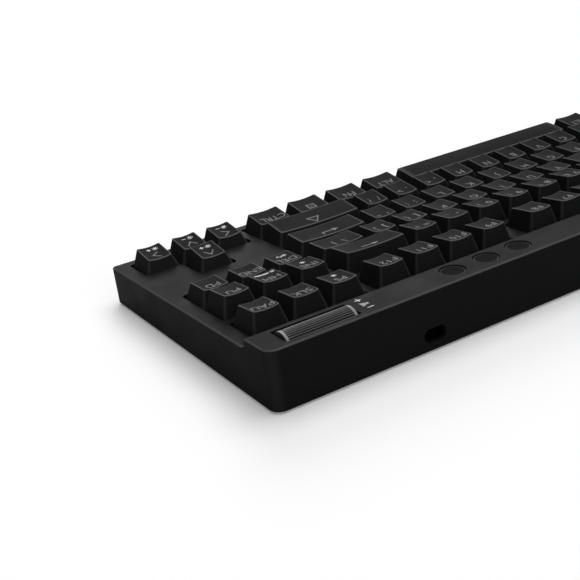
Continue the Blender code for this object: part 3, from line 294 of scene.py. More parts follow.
def colours(**rows):
    """Colours, with their defaults as sRGB hex codes."""
    return properties(FloatVectorProperty, rows, linear, size=3, min=0, max=1, subtype="COLOR")


class CaseSizes(PropertyGroup):
    """The case and the places of the keys in it."""

    __annotations__ = angles(deck_tilt=(1.4, "Slope of the deck down to the front")) | lengths(
        key_pitch=(19.05, "Distance between neighbouring keys"),
        cluster_gap=(5.1, "Gap between the main keys and the side keys"),
        function_gap=(5.2, "Gap in front of the function row"),
        side_margin=(7.3, "Case beside the keys"),
        front_margin=(6.3, "Case in front of the keys"),
        rear_margin=(24.5, "Case behind the keys"),
        front_height=(18.4, "Height of the front wall"),
        pad_stand=(1.0, "Height of the case above the table"),
        wall=(2.4, "Thickness of the walls"),
        deck_thickness=(2.2, "Thickness of the deck"),
        corner_radius=(5.0, "Rounding of the rear upright corners"),
        front_corner=(1.5, "Rounding of the front upright corners"),
        edge_fillet=(0.9, "Rounding of the top edges"),
        strip_rise=(4.3, "Height of the rear strip above the deck"),
        strip_width=(18.2, "Depth of the rear strip"),
        strip_wall=(1.6, "Thickness of the strip's front"),
        step_run=(4.5, "Length of the hollow in front of the strip"),
        opening_margin=(0.3, "Gap around a block of caps"),
        opening_radius=(1.5, "Rounding of an opening's corners"),
        opening_edge=(0.3, "Rounding of an opening's upper edge"),
    )


class KeycapSizes(PropertyGroup):
    """One keycap."""

    __annotations__ = lengths(
        spacing=(0.85, "Gap between two caps at their skirts"),
        sink=(1.6, "Depth of the skirts below the deck"),
        height=(10.7, "Height of the tallest cap"),
        side_taper=(3.1, "Lean of the side walls"),
        front_taper=(2.3, "Lean of the front wall"),
        rear_taper=(2.6, "Lean of the rear wall"),
        wall=(1.3, "Thickness of the walls"),
        roof=(1.3, "Thickness of the top"),
        dish=(0.7, "Depth of the hollow top"),
        crown=(0.35, "Rise of the space bar's top"),
        base_radius=(1.9, "Corner rounding at the skirt"),
        top_radius=(0.8, "Corner rounding at the rim"),
        rim_radius=(0.4, "Rounding of the rim"),
        stem_width=(5.4, "Width of the slider under the cap"),
        stem_end=(3.9, "Depth of the slider's end below the deck"),
        legend_height=(4.3, "Height of a legend's capitals"),
        legend_from_rear=(3.3, "Distance of a legend's middle from the rim"),
        legend_spread=(2.7, "Place of each of two signs off the middle"),
        legend_thickness=(0.05, "Thickness of the printed ink"),
        legend_lift=(0.02, "Height of the ink's underside above the cap"),
    )


class ControlSizes(PropertyGroup):
    """The roller, the round buttons and the cable inlet."""

    __annotations__ = lengths(
        wheel_from_side=(27.6, "From the roller's middle to the case's right side"),
        wheel_rear_gap=(0.3, "Between the roller and the rear wall"),
        wheel_slot=(34.8, "Length of the roller's slot"),
        wheel_side_gap=(0.35, "Between the roller and the slot's edges"),
        slot_radius=(0.5, "Rounding of the slot's corners"),
        wheel_end_gap=(0.8, "Gap at each end of the roller"),
        wheel_flange=(1.5, "Width of the smooth ends"),
        wheel_rib_depth=(0.6, "Depth between the ribs"),
        wheel_rim=(0.25, "Rounding of the smooth ends"),
        shaft_bore=(1.2, "Radius of the roller's bore"),
        button_pitch=(18.4, "Distance between the round buttons"),
        button_from_side=(96.9, "First button from the right side"),
        button_recess=(0.4, "Depth of a button below the strip"),
        button_dish=(0.3, "Hollow in a button's top"),
        button_gap=(0.3, "Gap round a button"),
        inlet_width=(11.4, "Width of the cable's hole"),
        inlet_height=(6.2, "Height of the cable's hole"),
        inlet_radius=(3.05, "Rounding of the cable's hole"),
        inlet_from_side=(77.85, "From the hole's middle to the case's right side"),
        inlet_edge=(0.15, "Bevel round the cable's hole"),
        socket_depth=(15.3, "Depth of the socket's middle below the deck"),
        inlet_drop=(0.25, "Depth of the hole's middle below the socket's"),
    )
    __annotations__ |= amounts(
        wheel_radius_share=(0.3434, "Roller's radius as a share of the strip's width"),
        wheel_proud_share=(0.264, "Roller's height above the strip as a share of its radius"),
        button_rear_share=(0.544, "Buttons' distance from the rear as a share of the strip's width"),
        button_radius_share=(0.302, "Buttons' radius as a share of the strip's width"),
    )
    __annotations__ |= angles(wheel_phase=(7.7, "Turn of the first rib"))
    __annotations__ |= properties(IntProperty, {"wheel_ribs": (36, "Ribs round the roller")}, int, min=6)


class Finishes(PropertyGroup):
    """Colours and gloss of the materials."""

    __annotations__ = colours(
        shell=("#181818", "Case plastic"),
        cap=("#232324", "Keycap plastic"),
        legend=("#5C5C5C", "Grey legend ink"),
        mark=("#E4E4E4", "White ink of the second functions"),
        roller=("#313131", "Roller plastic"),
        button=("#1F1F1F", "Round buttons"),
        tray=("#141415", "Bottom plastic"),
        rubber=("#101010", "Pads"),
        coating=("#121213", "Powder coat of the switch plate"),
        solder_mask=("#0E1512", "Circuit board"),
        housing=("#121213", "Switch housings"),
        steel=("#B9BBBD", "Bare steel"),
        # A dark colour for the socket's metal
        nickel=("#2C2B29", "Blackened socket"),
    )
    __annotations__ |= amounts(
        shell_gloss=(0.014, "Specular level of the case plastic"),
        shell_roughness=(0.45, "Roughness of the case plastic"),
        cap_gloss=(0.009, "Specular level of the keycaps"),
        cap_roughness=(0.6, "Roughness of the keycaps"),
        roller_gloss=(0.05, "Specular level of the roller"),
        button_gloss=(0.008, "Specular level of the buttons"),
        # How much paler a painted highlight makes a marked place
        rubbed=(9.0, "How much paler the rubbed edges are"),
    )


class StageLook(PropertyGroup):
    """Floor, light and camera."""

    __annotations__ = colours(floor=("#F9F9F9", "Floor and backdrop")) | amounts(
        floor_glow=(0.18, "How much whiter the camera sees the floor"),
        top_strength=(1.95, "Strength of the light from above"),
        back_strength=(0.9, "Strength of the light from the front of the keyboard"),
        fill_strength=(0.56, "Strength of the light on the rear wall"),
        ambient=(0.05, "Strength of the surroundings"),
        lens=(65.58, "Focal length on a 36 mm sensor, in mm"),
    )


# Places that follow from the sizes


class Layout:
    """The scene's properties and every place that the operators share, worked out from the sizes."""

    def __init__(self, scene):
        self.scene = scene
        self.case = case = scene.keyboard_case
        self.caps = scene.keyboard_caps
        self.controls = controls = scene.keyboard_controls
        self.finishes = scene.keyboard_finishes
        self.stage = scene.keyboard_stage
        self.pitch = case.key_pitch
        keys_width = (MAIN_UNITS + SIDE_UNITS) * self.pitch + case.cluster_gap
        self.left = -keys_width / 2
        self.side_left = self.left + MAIN_UNITS * self.pitch + case.cluster_gap
        self.right = keys_width / 2 + case.side_margin
        self.front = -case.front_margin
        self.rear = self.row_front(FUNCTION_ROW + 1) + case.rear_margin
        self.strip_front = self.rear - case.strip_width
        self.sin = math.sin(case.deck_tilt)
        self.cos = math.cos(case.deck_tilt)
        self.lift = case.pad_stand + case.front_height * self.cos - self.front * self.sin
        self.rear_drop = (self.lift - case.pad_stand + self.rear * self.sin) / self.cos
        frontmost = self.front * self.cos + case.edge_fillet * self.sin
        rearmost = self.rear * self.cos + self.rear_drop * self.sin
        self.shift = -(frontmost + rearmost) / 2
        self.strip_under = case.strip_rise - case.deck_thickness
        self.wheel_radius = case.strip_width * controls.wheel_radius_share
        self.wheel = (
            self.right - controls.wheel_from_side,
            self.rear - case.wall - controls.wheel_rear_gap - self.wheel_radius,
            case.strip_rise + self.wheel_radius * (controls.wheel_proud_share - 1),
        )
        chord = math.sqrt(self.wheel_radius**2 - (self.strip_under - self.wheel[2]) ** 2)
        self.slot_half = chord + controls.wheel_side_gap
        self.button_radius = case.strip_width * controls.button_radius_share
        self.button_y = self.rear - case.strip_width * controls.button_rear_share
        self.inlet_x = self.right - controls.inlet_from_side

    def row_front(self, row):
        return row * self.pitch + (self.case.function_gap if row >= FUNCTION_ROW else 0)

    def base(self, y):
        """Depth of the case's bottom plane below the deck, as a w."""
        return -(self.lift - self.case.pad_stand + y * self.sin) / self.cos

    def world(self, points):
        """Places in the deck's frame turned by the deck's tilt about X and lifted onto the table."""
        x, y, w = np.moveaxis(np.asarray(points, float), -1, 0)
        level = y * self.cos - w * self.sin + self.shift
        return np.stack([x, level, y * self.sin + w * self.cos + self.lift], axis=-1)

    def key_groups(self):
        """Each node of caps as name, row, left edge, cap width in units and legends."""
        for left, rows in ((self.left, MAIN_ROWS), (self.side_left, SIDE_ROWS)):
            for row, groups in enumerate(rows):
                for name, start, units, legends in groups:
                    yield name, row, left + start * self.pitch, units, legends.split()

    def button_places(self):
        first = self.right - self.controls.button_from_side
        return [(first - i * self.controls.button_pitch, self.button_y) for i in range(BUTTON_COUNT)]


# Meshes from arrays


def quarter(count):
    """Angles from nothing to a quarter turn."""
    return np.linspace(0, math.pi / 2, count)


def circle(sides):
    """Cosines and sines once round."""
    angles = np.arange(sides) * 2 * math.pi / sides
    return np.cos(angles), np.sin(angles)


def grid_faces(rings, points, closed=False):
    """Quads between neighbouring rings of one closed outline, and from last to first if closed."""
    low = np.arange(rings if closed else rings - 1)[:, None] * points
    high = (low + points) % (rings * points)
    here = np.arange(points)
    ahead = (here + 1) % points
    return np.stack([low + here, low + ahead, high + ahead, high + here], axis=-1).reshape(-1, 4)


def closed_skin(rings):
    """Vertices and faces of a skin through rings (ring, point, 3), closed by a fan at both ends."""
    count, points, _ = rings.shape
    vertices = np.concatenate([rings.reshape(-1, 3), [rings[0].mean(axis=0), rings[-1].mean(axis=0)]])
    here = np.arange(points)
    ahead = (here + 1) % points
    pole = np.full(points, count * points)
    top = (count - 1) * points
    start_fan = np.stack([pole, ahead, here], axis=-1)
    end_fan = np.stack([pole + 1, top + here, top + ahead], axis=-1)
    return vertices, outward(vertices, [grid_faces(count, points), np.concatenate([start_fan, end_fan])])


def flat_ended_skin(rings):
    """As closed_skin, with one flat face at each end."""
    count, points, _ = rings.shape
    vertices = rings.reshape(-1, 3)
    outline = np.arange(points)[None, :]
    ends = [outline[:, ::-1], (count - 1) * points + outline]
    return vertices, outward(vertices, [grid_faces(count, points), *ends])


def outward(vertices, faces):
    """Turns every face round if the volume that they enclose comes out negative."""
    volume = 0.0
    for group in faces:
        for k in range(1, group.shape[1] - 1):
            volume += np.linalg.det(vertices[group[:, [0, k, k + 1]]]).sum()
    return [group[:, ::-1] for group in faces] if volume < 0 else faces


def joined(parts):
    """Several (vertices, faces) as one."""
    vertices = []
    faces = []
    start = 0
    for points, groups in parts:
        vertices.append(points)
        faces.extend(group + start for group in groups)
        start += len(points)
    return np.concatenate(vertices), faces


def add_mesh(name, vertices, faces, materials, sharp=40.0):
    """A mesh object at the origin, smooth below the sharp angle."""
    mesh = bpy.data.meshes.new(name)
    mesh.from_pydata(vertices.tolist(), [], [row for group in faces for row in group.tolist()])
    mesh.validate()
    for material in materials:
        mesh.materials.append(material)
    mesh.shade_smooth()
    mesh.set_sharp_from_angle(angle=math.radians(sharp))
    return add_object(name, mesh)


def add_object(name, data):
    obj = bpy.data.objects.new(name, data)
    bpy.context.scene.collection.objects.link(obj)
    return obj


def finish_piece(obj, body, nodes):
    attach(obj, body)
    if nodes:
        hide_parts(*nodes)


def set_values(obj, name, values):
    attribute = obj.data.attributes.new(name, "FLOAT", "POINT")
    attribute.data.foreach_set("value", np.asarray(values, np.float32))


def outline_table(along_x, along_y, corner_steps):
    """A unit rounded square from its right side round: (places, outward directions).

    A rounded rectangle is (half size - radius) * place + radius * direction.
    """
    places = []
    directions = []
    corners = np.array(((1, 1), (-1, 1), (-1, -1), (1, -1)))
    for k, corner in enumerate(corners):
        start = k * math.pi / 2
        for angle in np.linspace(start, start + math.pi / 2, corner_steps + 1):
            places.append(corner)
            directions.append((math.cos(angle), math.sin(angle)))
        steps = along_x if k % 2 == 0 else along_y
        for share in np.linspace(0, 1, steps + 1)[1:-1]:
            places.append(corner * (1 - share) + corners[(k + 1) % 4] * share)
            directions.append(directions[-1])
    return np.array(places, float), np.array(directions, float)


def rounded_ring(table, half_x, front, rear, radius):
    """The x and y of a rounded rectangle's outline."""
    places, directions = table
    half_y = (rear - front) / 2
    x = (half_x - radius) * places[:, 0] + radius * directions[:, 0]
    y = (rear + front) / 2 + (half_y - radius) * places[:, 1] + radius * directions[:, 1]
    return x, y


def ring_at(table, half_x, front, rear, radius, w):
    x, y = rounded_ring(table, half_x, front, rear, radius)
    return np.stack([x, y, np.broadcast_to(w, x.shape)], axis=-1)


# Materials


def fill_node(tree, node, settings):
    """Sets attributes and sockets by name or number; an output socket as a value makes a link."""
    for key, value in settings.items():
        if isinstance(value, bpy.types.NodeSocket):
            tree.links.new(value, node.inputs[key])
        elif isinstance(key, int) or key in node.inputs:
            node.inputs[key].default_value = value
        else:
            setattr(node, key, value)


def add_node(tree, kind, settings):
    node = tree.nodes.new(kind)
    fill_node(tree, node, settings)
    return node


def shade(base, factor):
    """A paler or darker colour, with the alpha that a socket wants."""
    return (*(min(1.0, c * factor) for c in base[:3]), 1.0)


def patterned(name, base, roughness, tone, gloss=None, relief=None, metallic=0.0, specular=0.5):
    """A material whose colour, roughness and relief follow noises on Object coordinates.

    A noise is the size of its features in mm, its detail, and its scale along each axis.
    tone is a noise and the shares of the base colour at its ends. gloss is a noise, the part
    of its range that counts and the roughness at that part's ends. relief is a noise, its
    depth in mm and its strength.
    """
    material = bpy.data.materials.new(name)
    material.use_nodes = True
    tree = material.node_tree
    shader = tree.nodes["Principled BSDF"]
    own = {"Base Color": shade(base, 1), "Roughness": roughness, "Metallic": metallic}
    fill_node(tree, shader, own | {"Specular IOR Level": specular})
    place = add_node(tree, "ShaderNodeTexCoord", {}).outputs["Object"]
    fields = {}
    for noise in dict.fromkeys(use[0] for use in (tone, gloss, relief) if use):
        size, detail, scale = noise
        along = place
        if scale != EVEN:
            scaled = add_node(tree, "ShaderNodeMapping", {"Vector": place, "Scale": scale})
            along = scaled.outputs["Vector"]
        settings = {"Vector": along, "Scale": 1 / (size * MM), "Detail": detail, "Roughness": 0.6}
        fields[noise] = add_node(tree, "ShaderNodeTexNoise", settings).outputs["Fac"]
    noise, low, high = tone
    settings = {"data_type": "RGBA", 0: fields[noise], 6: shade(base, low), 7: shade(base, high)}
    linked = {"Base Color": add_node(tree, "ShaderNodeMix", settings).outputs[2]}
    if gloss:
        noise, low, high, smooth, dull = gloss
        settings = {"From Min": low, "From Max": high, "To Min": smooth, "To Max": dull}
        ranged = add_node(tree, "ShaderNodeMapRange", settings | {"Value": fields[noise]})
        linked["Roughness"] = ranged.outputs["Result"]
    if relief:
        noise, depth, strength = relief
        settings = {"Height": fields[noise], "Distance": depth * MM, "Strength": strength}
        linked["Normal"] = add_node(tree, "ShaderNodeBump", settings).outputs["Normal"]
    fill_node(tree, shader, linked)
    return material, tree, shader


def moulded_plastic(name, base, roughness, texture, depth, specular=0.02, rubbed=0.0):
    """Injection-moulded ABS or nylon from a spark-eroded tool, texture and depth in mm.

    The grain breaks up the gloss, broad patches vary it a little, and a place that the
    mesh marks gets a painted highlight: a paler colour, with a lower roughness.
    """
    broad = (18, 3.0, EVEN)
    gloss = (broad, 0.35, 0.65, roughness - 0.05, roughness + 0.05)
    relief = ((texture, 2.0, EVEN), depth, 0.6)
    material, tree, shader = patterned(
        name, base, roughness, (broad, 0.92, 1.08), gloss, relief, specular=specular
    )
    if rubbed:
        # Marked places get a painted highlight, a paler colour, and a lower roughness
        highlight_mask = add_node(tree, "ShaderNodeAttribute", {"attribute_name": "edge"}).outputs["Fac"]
        tone, dull = (shader.inputs[key].links[0].from_socket for key in ("Base Color", "Roughness"))
        settings = {"data_type": "RGBA", 0: highlight_mask, 6: tone, 7: shade(base, 1 + rubbed)}
        paler = add_node(tree, "ShaderNodeMix", settings).outputs[2]
        settings = {"operation": "MULTIPLY_ADD", 0: highlight_mask, 1: HIGHLIGHT_SMOOTHING, 2: dull}
        smoother = add_node(tree, "ShaderNodeMath", settings).outputs["Value"]
        fill_node(tree, shader, {"Base Color": paler, "Roughness": smoother})
    return material


def printed_ink(name, base):
    """Pad-printed ink: matt, with faint uneven cover."""
    return patterned(name, base, 0.55, ((0.5, 2.0, EVEN), 0.82, 1.05), specular=0.3)[0]


def bare_metal(name, base, roughness, direction):
    """Drawn or rolled metal: fine lines along one direction, and patches of duller skin."""
    lines = (0.4, 3.0, direction)
    gloss = (lines, 0.3, 0.7, roughness - 0.08, roughness + 0.1)
    patches = (6, 2.0, EVEN)
    relief = (lines, 0.01, 0.5)
    return patterned(name, base, roughness, (patches, 0.85, 1), gloss, relief, metallic=1.0)[0]


def powder_coat(name, base):
    """Powder-coated steel: even satin paint with a fine orange peel."""
    peel = (0.9, 1.0, EVEN)
    gloss = (peel, 0.3, 0.7, 0.4, 0.52)
    return patterned(name, base, 0.45, (peel, 0.9, 1.15), gloss, (peel, 0.03, 0.5))[0]


def moulded_rubber(name, base):
    """Moulded rubber: matt, dusty, with a slight grain."""
    dust = (1.6, 4.0, EVEN)
    gloss = (dust, 0.3, 0.7, 0.78, 0.95)
    relief = ((0.35, 2.0, EVEN), 0.03, 0.6)
    return patterned(name, base, 0.85, (dust, 0.8, 1.9), gloss, relief, specular=0.3)[0]


def board_with_housings(layout):
    """A solder-masked board below, black nylon switch housings above it, told apart by height.

    The mask is smooth and green-black with darker specks, the nylon duller and plain.
    """
    specks = (1.2, 2.0, EVEN)
    mask = layout.finishes.solder_mask
    material, tree, shader = patterned(
        "solder_mask_and_nylon", mask, 0.4, (specks, 0.85, 1.3), relief=(specks, 0.02, 0.4)
    )
    place = add_node(tree, "ShaderNodeTexCoord", {}).outputs["Object"]
    settings = {"Location": (0, 0, -layout.lift), "Rotation": (-layout.case.deck_tilt, 0, 0)}
    level = add_node(tree, "ShaderNodeMapping", settings | {"Vector": place}).outputs["Vector"]
    height = add_node(tree, "ShaderNodeSeparateXYZ", {"Vector": level}).outputs["Z"]
    top = -layout.case.front_height + BOARD_LEVEL
    settings = {"Value": height, "From Min": top + 0.05 * MM, "From Max": top + 0.15 * MM}
    above = add_node(tree, "ShaderNodeMapRange", settings).outputs["Result"]
    masked = shader.inputs["Base Color"].links[0].from_socket
    settings = {"data_type": "RGBA", 0: above, 6: masked, 7: shade(layout.finishes.housing, 1)}
    tone = add_node(tree, "ShaderNodeMix", settings).outputs[2]
    settings = {"Value": above, "To Min": 0.3, "To Max": 0.5}
    dull = add_node(tree, "ShaderNodeMapRange", settings).outputs["Result"]
    fill_node(tree, shader, {"Base Color": tone, "Roughness": dull})
    return material


# Keycaps


class Cap:
    """One keycap about its own centre, with w = 0 at its skirt."""

    def __init__(self, layout, row, units):
        self.sizes = caps = layout.caps
        front_share, rear_share = ROW_HEIGHT_SHARES[row]
        self.front_height = caps.height * front_share
        self.rear_height = caps.height * rear_share
        self.half_x = (units * layout.pitch - caps.spacing) / 2
        self.half_y = (layout.pitch - caps.spacing) / 2
        self.top_half_x = self.half_x - caps.side_taper
        self.top_front = caps.front_taper - self.half_y
        self.top_rear = self.half_y - caps.rear_taper
        self.is_space = units > SPACE_UNITS
        self.dish = caps.dish
        self.crown = caps.crown
        self.ceiling = min(self.front_height, self.rear_height) - caps.dish - caps.roof

    def top(self, x, y):
        """Height of the top: level across but hollowed as a parabola, or arched on the space bar."""
        along = (y - self.top_front) / (self.top_rear - self.top_front)
        rim = self.front_height + (self.rear_height - self.front_height) * along
        if self.is_space:
            return rim + self.crown * (1 - (2 * along - 1) ** 2) - self.crown
        return rim - self.dish * (1 - (x / self.top_half_x) ** 2)


def cap_centre(layout, row, left, units, number):
    """The middle of one of a node's caps at the skirt, in the deck's frame."""
    x = left + (number + 0.5) * units * layout.pitch
    return np.array((x, layout.row_front(row) + layout.pitch / 2, -layout.caps.sink))


def cap_rings(layout, cap):
    """A cap's closed skin as rings of one rounded outline, and how strong the painted highlight is at
    each point.

    From the slider's end up its side, out under the roof, down the inner wall, round
    the lip and in straight lines up the outer wall. The rim is a parabola between wall
    and top, and the top's rings shrink to its middle on the surface that Cap.top gives.
    """
    caps = layout.caps
    table = outline_table(along_x=12, along_y=4, corner_steps=6)
    slider = caps.stem_width / 2

    def inner(inset, w):
        share = w / cap.front_height
        return ring_at(
            table,
            cap.half_x - caps.side_taper * share - inset,
            caps.front_taper * share - cap.half_y + inset,
            cap.half_y - caps.rear_taper * share - inset,
            CAP_INNER_RADIUS,
            w,
        )

    def on_top(inset, radius):
        half = cap.top_half_x - inset
        ring = ring_at(table, half, cap.top_front + inset, cap.top_rear - inset, radius, 0.0)
        ring[:, 2] = cap.top(ring[:, 0], ring[:, 1])
        return ring

    base = ring_at(table, cap.half_x, -cap.half_y, cap.half_y, caps.base_radius, 0.0)
    edge = on_top(0.0, caps.top_radius)
    inset = on_top(caps.rim_radius, caps.top_radius - caps.rim_radius / 2)
    down = base - edge
    down /= np.linalg.norm(down, axis=1)[:, None]
    shoulder = edge + down * caps.rim_radius
    lip = base.copy()
    lip[:, :2] -= np.sign(base[:, :2]) * LIP_BEVEL
    rings = [
        ring_at(table, slider, -slider, slider, STEM_RADIUS, caps.sink - caps.stem_end),
        ring_at(table, slider, -slider, slider, STEM_RADIUS, cap.ceiling),
        inner(caps.wall, cap.ceiling),
        inner(caps.wall, LIP_HEIGHT),
        inner(caps.wall - LIP_BEVEL, 0.0),
        lip,
    ]
    inside = len(rings)
    rings += [base + (shoulder - base) * share for share in WALL_SHARES]
    for share in RIM_SHARES:
        left = 1 - share
        rings.append(shoulder * left**2 + edge * (2 * share * left) + inset * share**2)
    middle = (cap.top_front + cap.top_rear) / 2
    for share in TOP_SHARES:
        ring = inset.copy()
        ring[:, 0] *= share
        ring[:, 1] = middle + (ring[:, 1] - middle) * share
        ring[:, 2] = cap.top(ring[:, 0], ring[:, 1])
        rings.append(ring)
    rim = inside + len(WALL_SHARES)
    top = rim + len(RIM_SHARES)
    # Painted highlights: soft down the outer wall's rounded corners, full on the rim, and a third of that
    # where the rim meets the top
    highlight_mask = np.zeros((len(rings), len(base)))
    highlight_mask[inside:rim] = CAP_CORNER_HIGHLIGHT * np.abs(table[1]).min(axis=1) * math.sqrt(2)
    highlight_mask[rim:top] = CAP_RIM_HIGHLIGHT
    highlight_mask[top - 1] = CAP_RIM_HIGHLIGHT / 3
    return np.array(rings), highlight_mask.ravel()


def add_caps(layout, material):
    """Every node's caps as one piece, in the place of the node."""
    made = {}
    for name, row, left, units, legends in layout.key_groups():
        if (row, units) not in made:
            made[row, units] = cap_rings(layout, Cap(layout, row, units))
        rings, highlight_mask = made[row, units]
        parts = []
        for i in range(len(legends)):
            vertices, faces = closed_skin(rings + cap_centre(layout, row, left, units, i))
            parts.append((layout.world(vertices), faces))
        vertices, faces = joined(parts)
        obj = add_mesh(name.replace("key", "cap", 1), vertices, faces, [material], sharp=50.0)
        # The painted highlights of every cap, none at the two poles
        set_values(obj, "edge", np.tile(np.append(highlight_mask, [0.0, 0.0]), len(legends)))
        finish_piece(obj, name, [name])


# Legends


def flat_shape(outlines):
    """Convex outlines as thin plates from z = -0.5 to 0.5, in a bmesh."""
    bm = bmesh.new()
    for outline in outlines:
        low = [bm.verts.new((x, y, -0.5)) for x, y in outline]
        high = [bm.verts.new((x, y, 0.5)) for x, y in outline]
        bm.faces.new(low[::-1])
        bm.faces.new(high)
        for i in range(len(outline)):
            j = (i + 1) % len(outline)
            bm.faces.new((low[i], low[j], high[j], high[i]))
    return bm


def bar(left, right, low, high):
    return [(left, low), (right, low), (right, high), (left, high)]


def wedge_ring(inner, outer, steps):
    """A ring as four-sided plates."""
    angles = np.linspace(0, 2 * math.pi, steps + 1)
    plates = []
    for a, b in zip(angles, angles[1:]):
        corners = ((inner, a), (outer, a), (outer, b), (inner, b))
        plates.append([(radius * math.cos(angle), radius * math.sin(angle)) for radius, angle in corners])
    return plates


def turned(outlines, angle):
    cos, sin = math.cos(angle), math.sin(angle)
    return [[(x * cos - y * sin, x * sin + y * cos) for x, y in outline] for outline in outlines]


def stroke(points, width, closed=False):
    """A line along points as four-sided plates that share their mitred corners."""
    path = np.asarray(points, float)
    ahead = np.roll(path, -1, axis=0) - path
    if not closed:
        ahead[-1] = ahead[-2]
    ahead /= np.linalg.norm(ahead, axis=1)[:, None]
    behind = np.roll(ahead, 1, axis=0)
    if not closed:
        behind[0] = ahead[0]
    across = np.stack([-(ahead + behind)[:, 1], (ahead + behind)[:, 0]], axis=1)
    across *= width / (across**2).sum(axis=1)[:, None]
    left = path + across
    right = path - across
    last = len(path) if closed else len(path) - 1
    following = np.roll(np.arange(len(path)), -1)
    return [[right[i], right[following[i]], left[following[i]], left[i]] for i in range(last)]


def drawn_marks():
    """Every drawn sign's plates about the origin, one unit high."""
    chevron = stroke([(-0.4, 0.62), (0.45, 0.0), (-0.4, -0.62)], 0.15)
    hook = stroke([(-0.4, -0.2), (1.1, -0.2), (1.1, 0.4)], 0.16)
    box = stroke([(-0.46, -0.4), (0.46, -0.4), (0.46, 0.4), (-0.46, 0.4)], 0.14, closed=True)
    level = bar(-0.5, 0.5, -0.1, 0.1)
    ray = [bar(0.38, 0.5, -0.06, 0.06)]
    rays = [plate for k in range(8) for plate in turned(ray, k * math.pi / 4)]
    return {
        "right": turned(chevron, 0.0),
        "up": turned(chevron, 0.5 * math.pi),
        "left": turned(chevron, math.pi),
        "down": turned(chevron, 1.5 * math.pi),
        "back": [[(-1.6, 0.0), (-0.5, -0.42), (-0.5, 0.42)], bar(-0.5, 1.6, -0.1, 0.1)],
        "enter": [[(-1.2, -0.2), (-0.4, -0.6), (-0.4, 0.2)], *hook],
        "shift": stroke([(0.0, 0.46), (-0.66, -0.42), (0.66, -0.42)], 0.13, closed=True),
        "menu": [*box, bar(-0.2, 0.2, -0.02, 0.1)],
        "ring": wedge_ring(0.34, 0.5, 24),
        "plus": [level, bar(-0.1, 0.1, 0.1, 0.5), bar(-0.1, 0.1, -0.5, -0.1)],
        "minus": [level],
        "bar": [bar(-3.2, 3.2, -0.5, 0.5)],
        "wave": stroke([(-0.8, -0.1), (-0.4, 0.35), (0.1, -0.3), (0.5, 0.15)], 0.2),
        "sun": wedge_ring(0.02, 0.29, 12) + rays,
        "lamp": wedge_ring(0.13, 0.29, 12) + rays,
        "loudspeaker": [
            bar(-0.5, -0.15, -0.22, 0.22),
            [(-0.15, -0.22), (0.5, -0.55), (0.5, 0.55), (-0.15, 0.22)],
        ],
    }


MARKS = drawn_marks()


def text_shape(text):
    """A word or sign one unit high from the built-in font, as plates in a bmesh."""
    curve = bpy.data.curves.new("legend_text", "FONT")
    curve.body = text
    curve.align_x = "CENTER"
    curve.size = 1 / CAPITAL_SHARE
    curve.resolution_u = 3
    curve.extrude = 0.5
    holder = add_object("legend_text", curve)
    mesh = bpy.data.meshes.new_from_object(holder.evaluated_get(bpy.context.evaluated_depsgraph_get()))
    bm = bmesh.new()
    bm.from_mesh(mesh)
    bmesh.ops.remove_doubles(bm, verts=bm.verts, dist=0.001)
    bmesh.ops.translate(bm, verts=bm.verts, vec=(0, -0.5, 0))
    bpy.data.objects.remove(holder)
    bpy.data.curves.remove(curve)
    bpy.data.meshes.remove(mesh)
    return bm


def arrays(bm):
    """A bmesh's places and triangles as arrays; the bmesh is given up."""
    bmesh.ops.triangulate(bm, faces=bm.faces)
    bm.verts.index_update()
    vertices = np.array([v.co for v in bm.verts], float)
    faces = np.array([[v.index for v in f.verts] for f in bm.faces])
    bm.free()
    return vertices, faces


def laid_on(bm, cap, size, x, y):
    """A flat shape scaled, cut into strips across and laid on a cap's hollow top."""
    bmesh.ops.scale(bm, verts=bm.verts, vec=(size, size, 1.0))
    bmesh.ops.translate(bm, verts=bm.verts, vec=(x, y, 0))
    xs = [v.co.x for v in bm.verts]
    for k in range(math.floor(min(xs) / PRINT_STRIP) + 1, math.ceil(max(xs) / PRINT_STRIP)):
        geometry = bm.verts[:] + bm.edges[:] + bm.faces[:]
        bmesh.ops.bisect_plane(bm, geom=geometry, plane_co=(k * PRINT_STRIP, 0, 0), plane_no=(1, 0, 0))
    vertices, faces = arrays(bm)
    level = cap.top(vertices[:, 0], vertices[:, 1]) + cap.sizes.legend_lift
    vertices[:, 2] = level + (vertices[:, 2] + 0.5) * cap.sizes.legend_thickness
    return vertices, [faces]


def placed_mark(cap, mark, size, x, from_rear):
    """A drawn sign's shape, size and place on a cap."""
    return flat_shape(MARKS[mark]), size * MM, x * MM, cap.top_rear - from_rear * MM


def grey_shapes(cap, name, legend):
    """The shapes of one legend, each with its size and place."""
    caps = cap.sizes
    y = cap.top_rear - caps.legend_from_rear
    if legend.startswith("mark:"):
        mark = legend.removeprefix("mark:")
        yield placed_mark(cap, mark, *GREY_MARKS[mark])
    elif len(legend) == 2 and not legend[1].isalnum():
        for sign, x in zip(legend, (-caps.legend_spread, caps.legend_spread)):
            yield text_shape(sign), caps.legend_height, x, y
    elif legend != "blank":
        yield text_shape(legend), caps.legend_height, WORD_SHIFTS.get(name, 0.0) * MM, y


def white_shapes(cap, name, _):
    """The signs of a cap's second functions, each with its size and place."""
    for mark in WHITE_MARKS.get(name, ()):
        yield placed_mark(cap, *mark)


def add_prints(layout, kind, shapes, ink):
    """Every node's prints of one ink as one piece that rides with its caps."""
    for name, row, left, units, legends in layout.key_groups():
        cap = Cap(layout, row, units)
        parts = []
        for i, legend in enumerate(legends):
            centre = cap_centre(layout, row, left, units, i)
            for bm, size, x, y in shapes(cap, name, legend):
                vertices, faces = laid_on(bm, cap, size, x, y)
                parts.append((layout.world(vertices + centre), faces))
        if parts:
            vertices, faces = joined(parts)
            obj = add_mesh(name.replace("key", kind, 1), vertices, faces, [ink], sharp=30.0)
            finish_piece(obj, name, [])


# Top cover


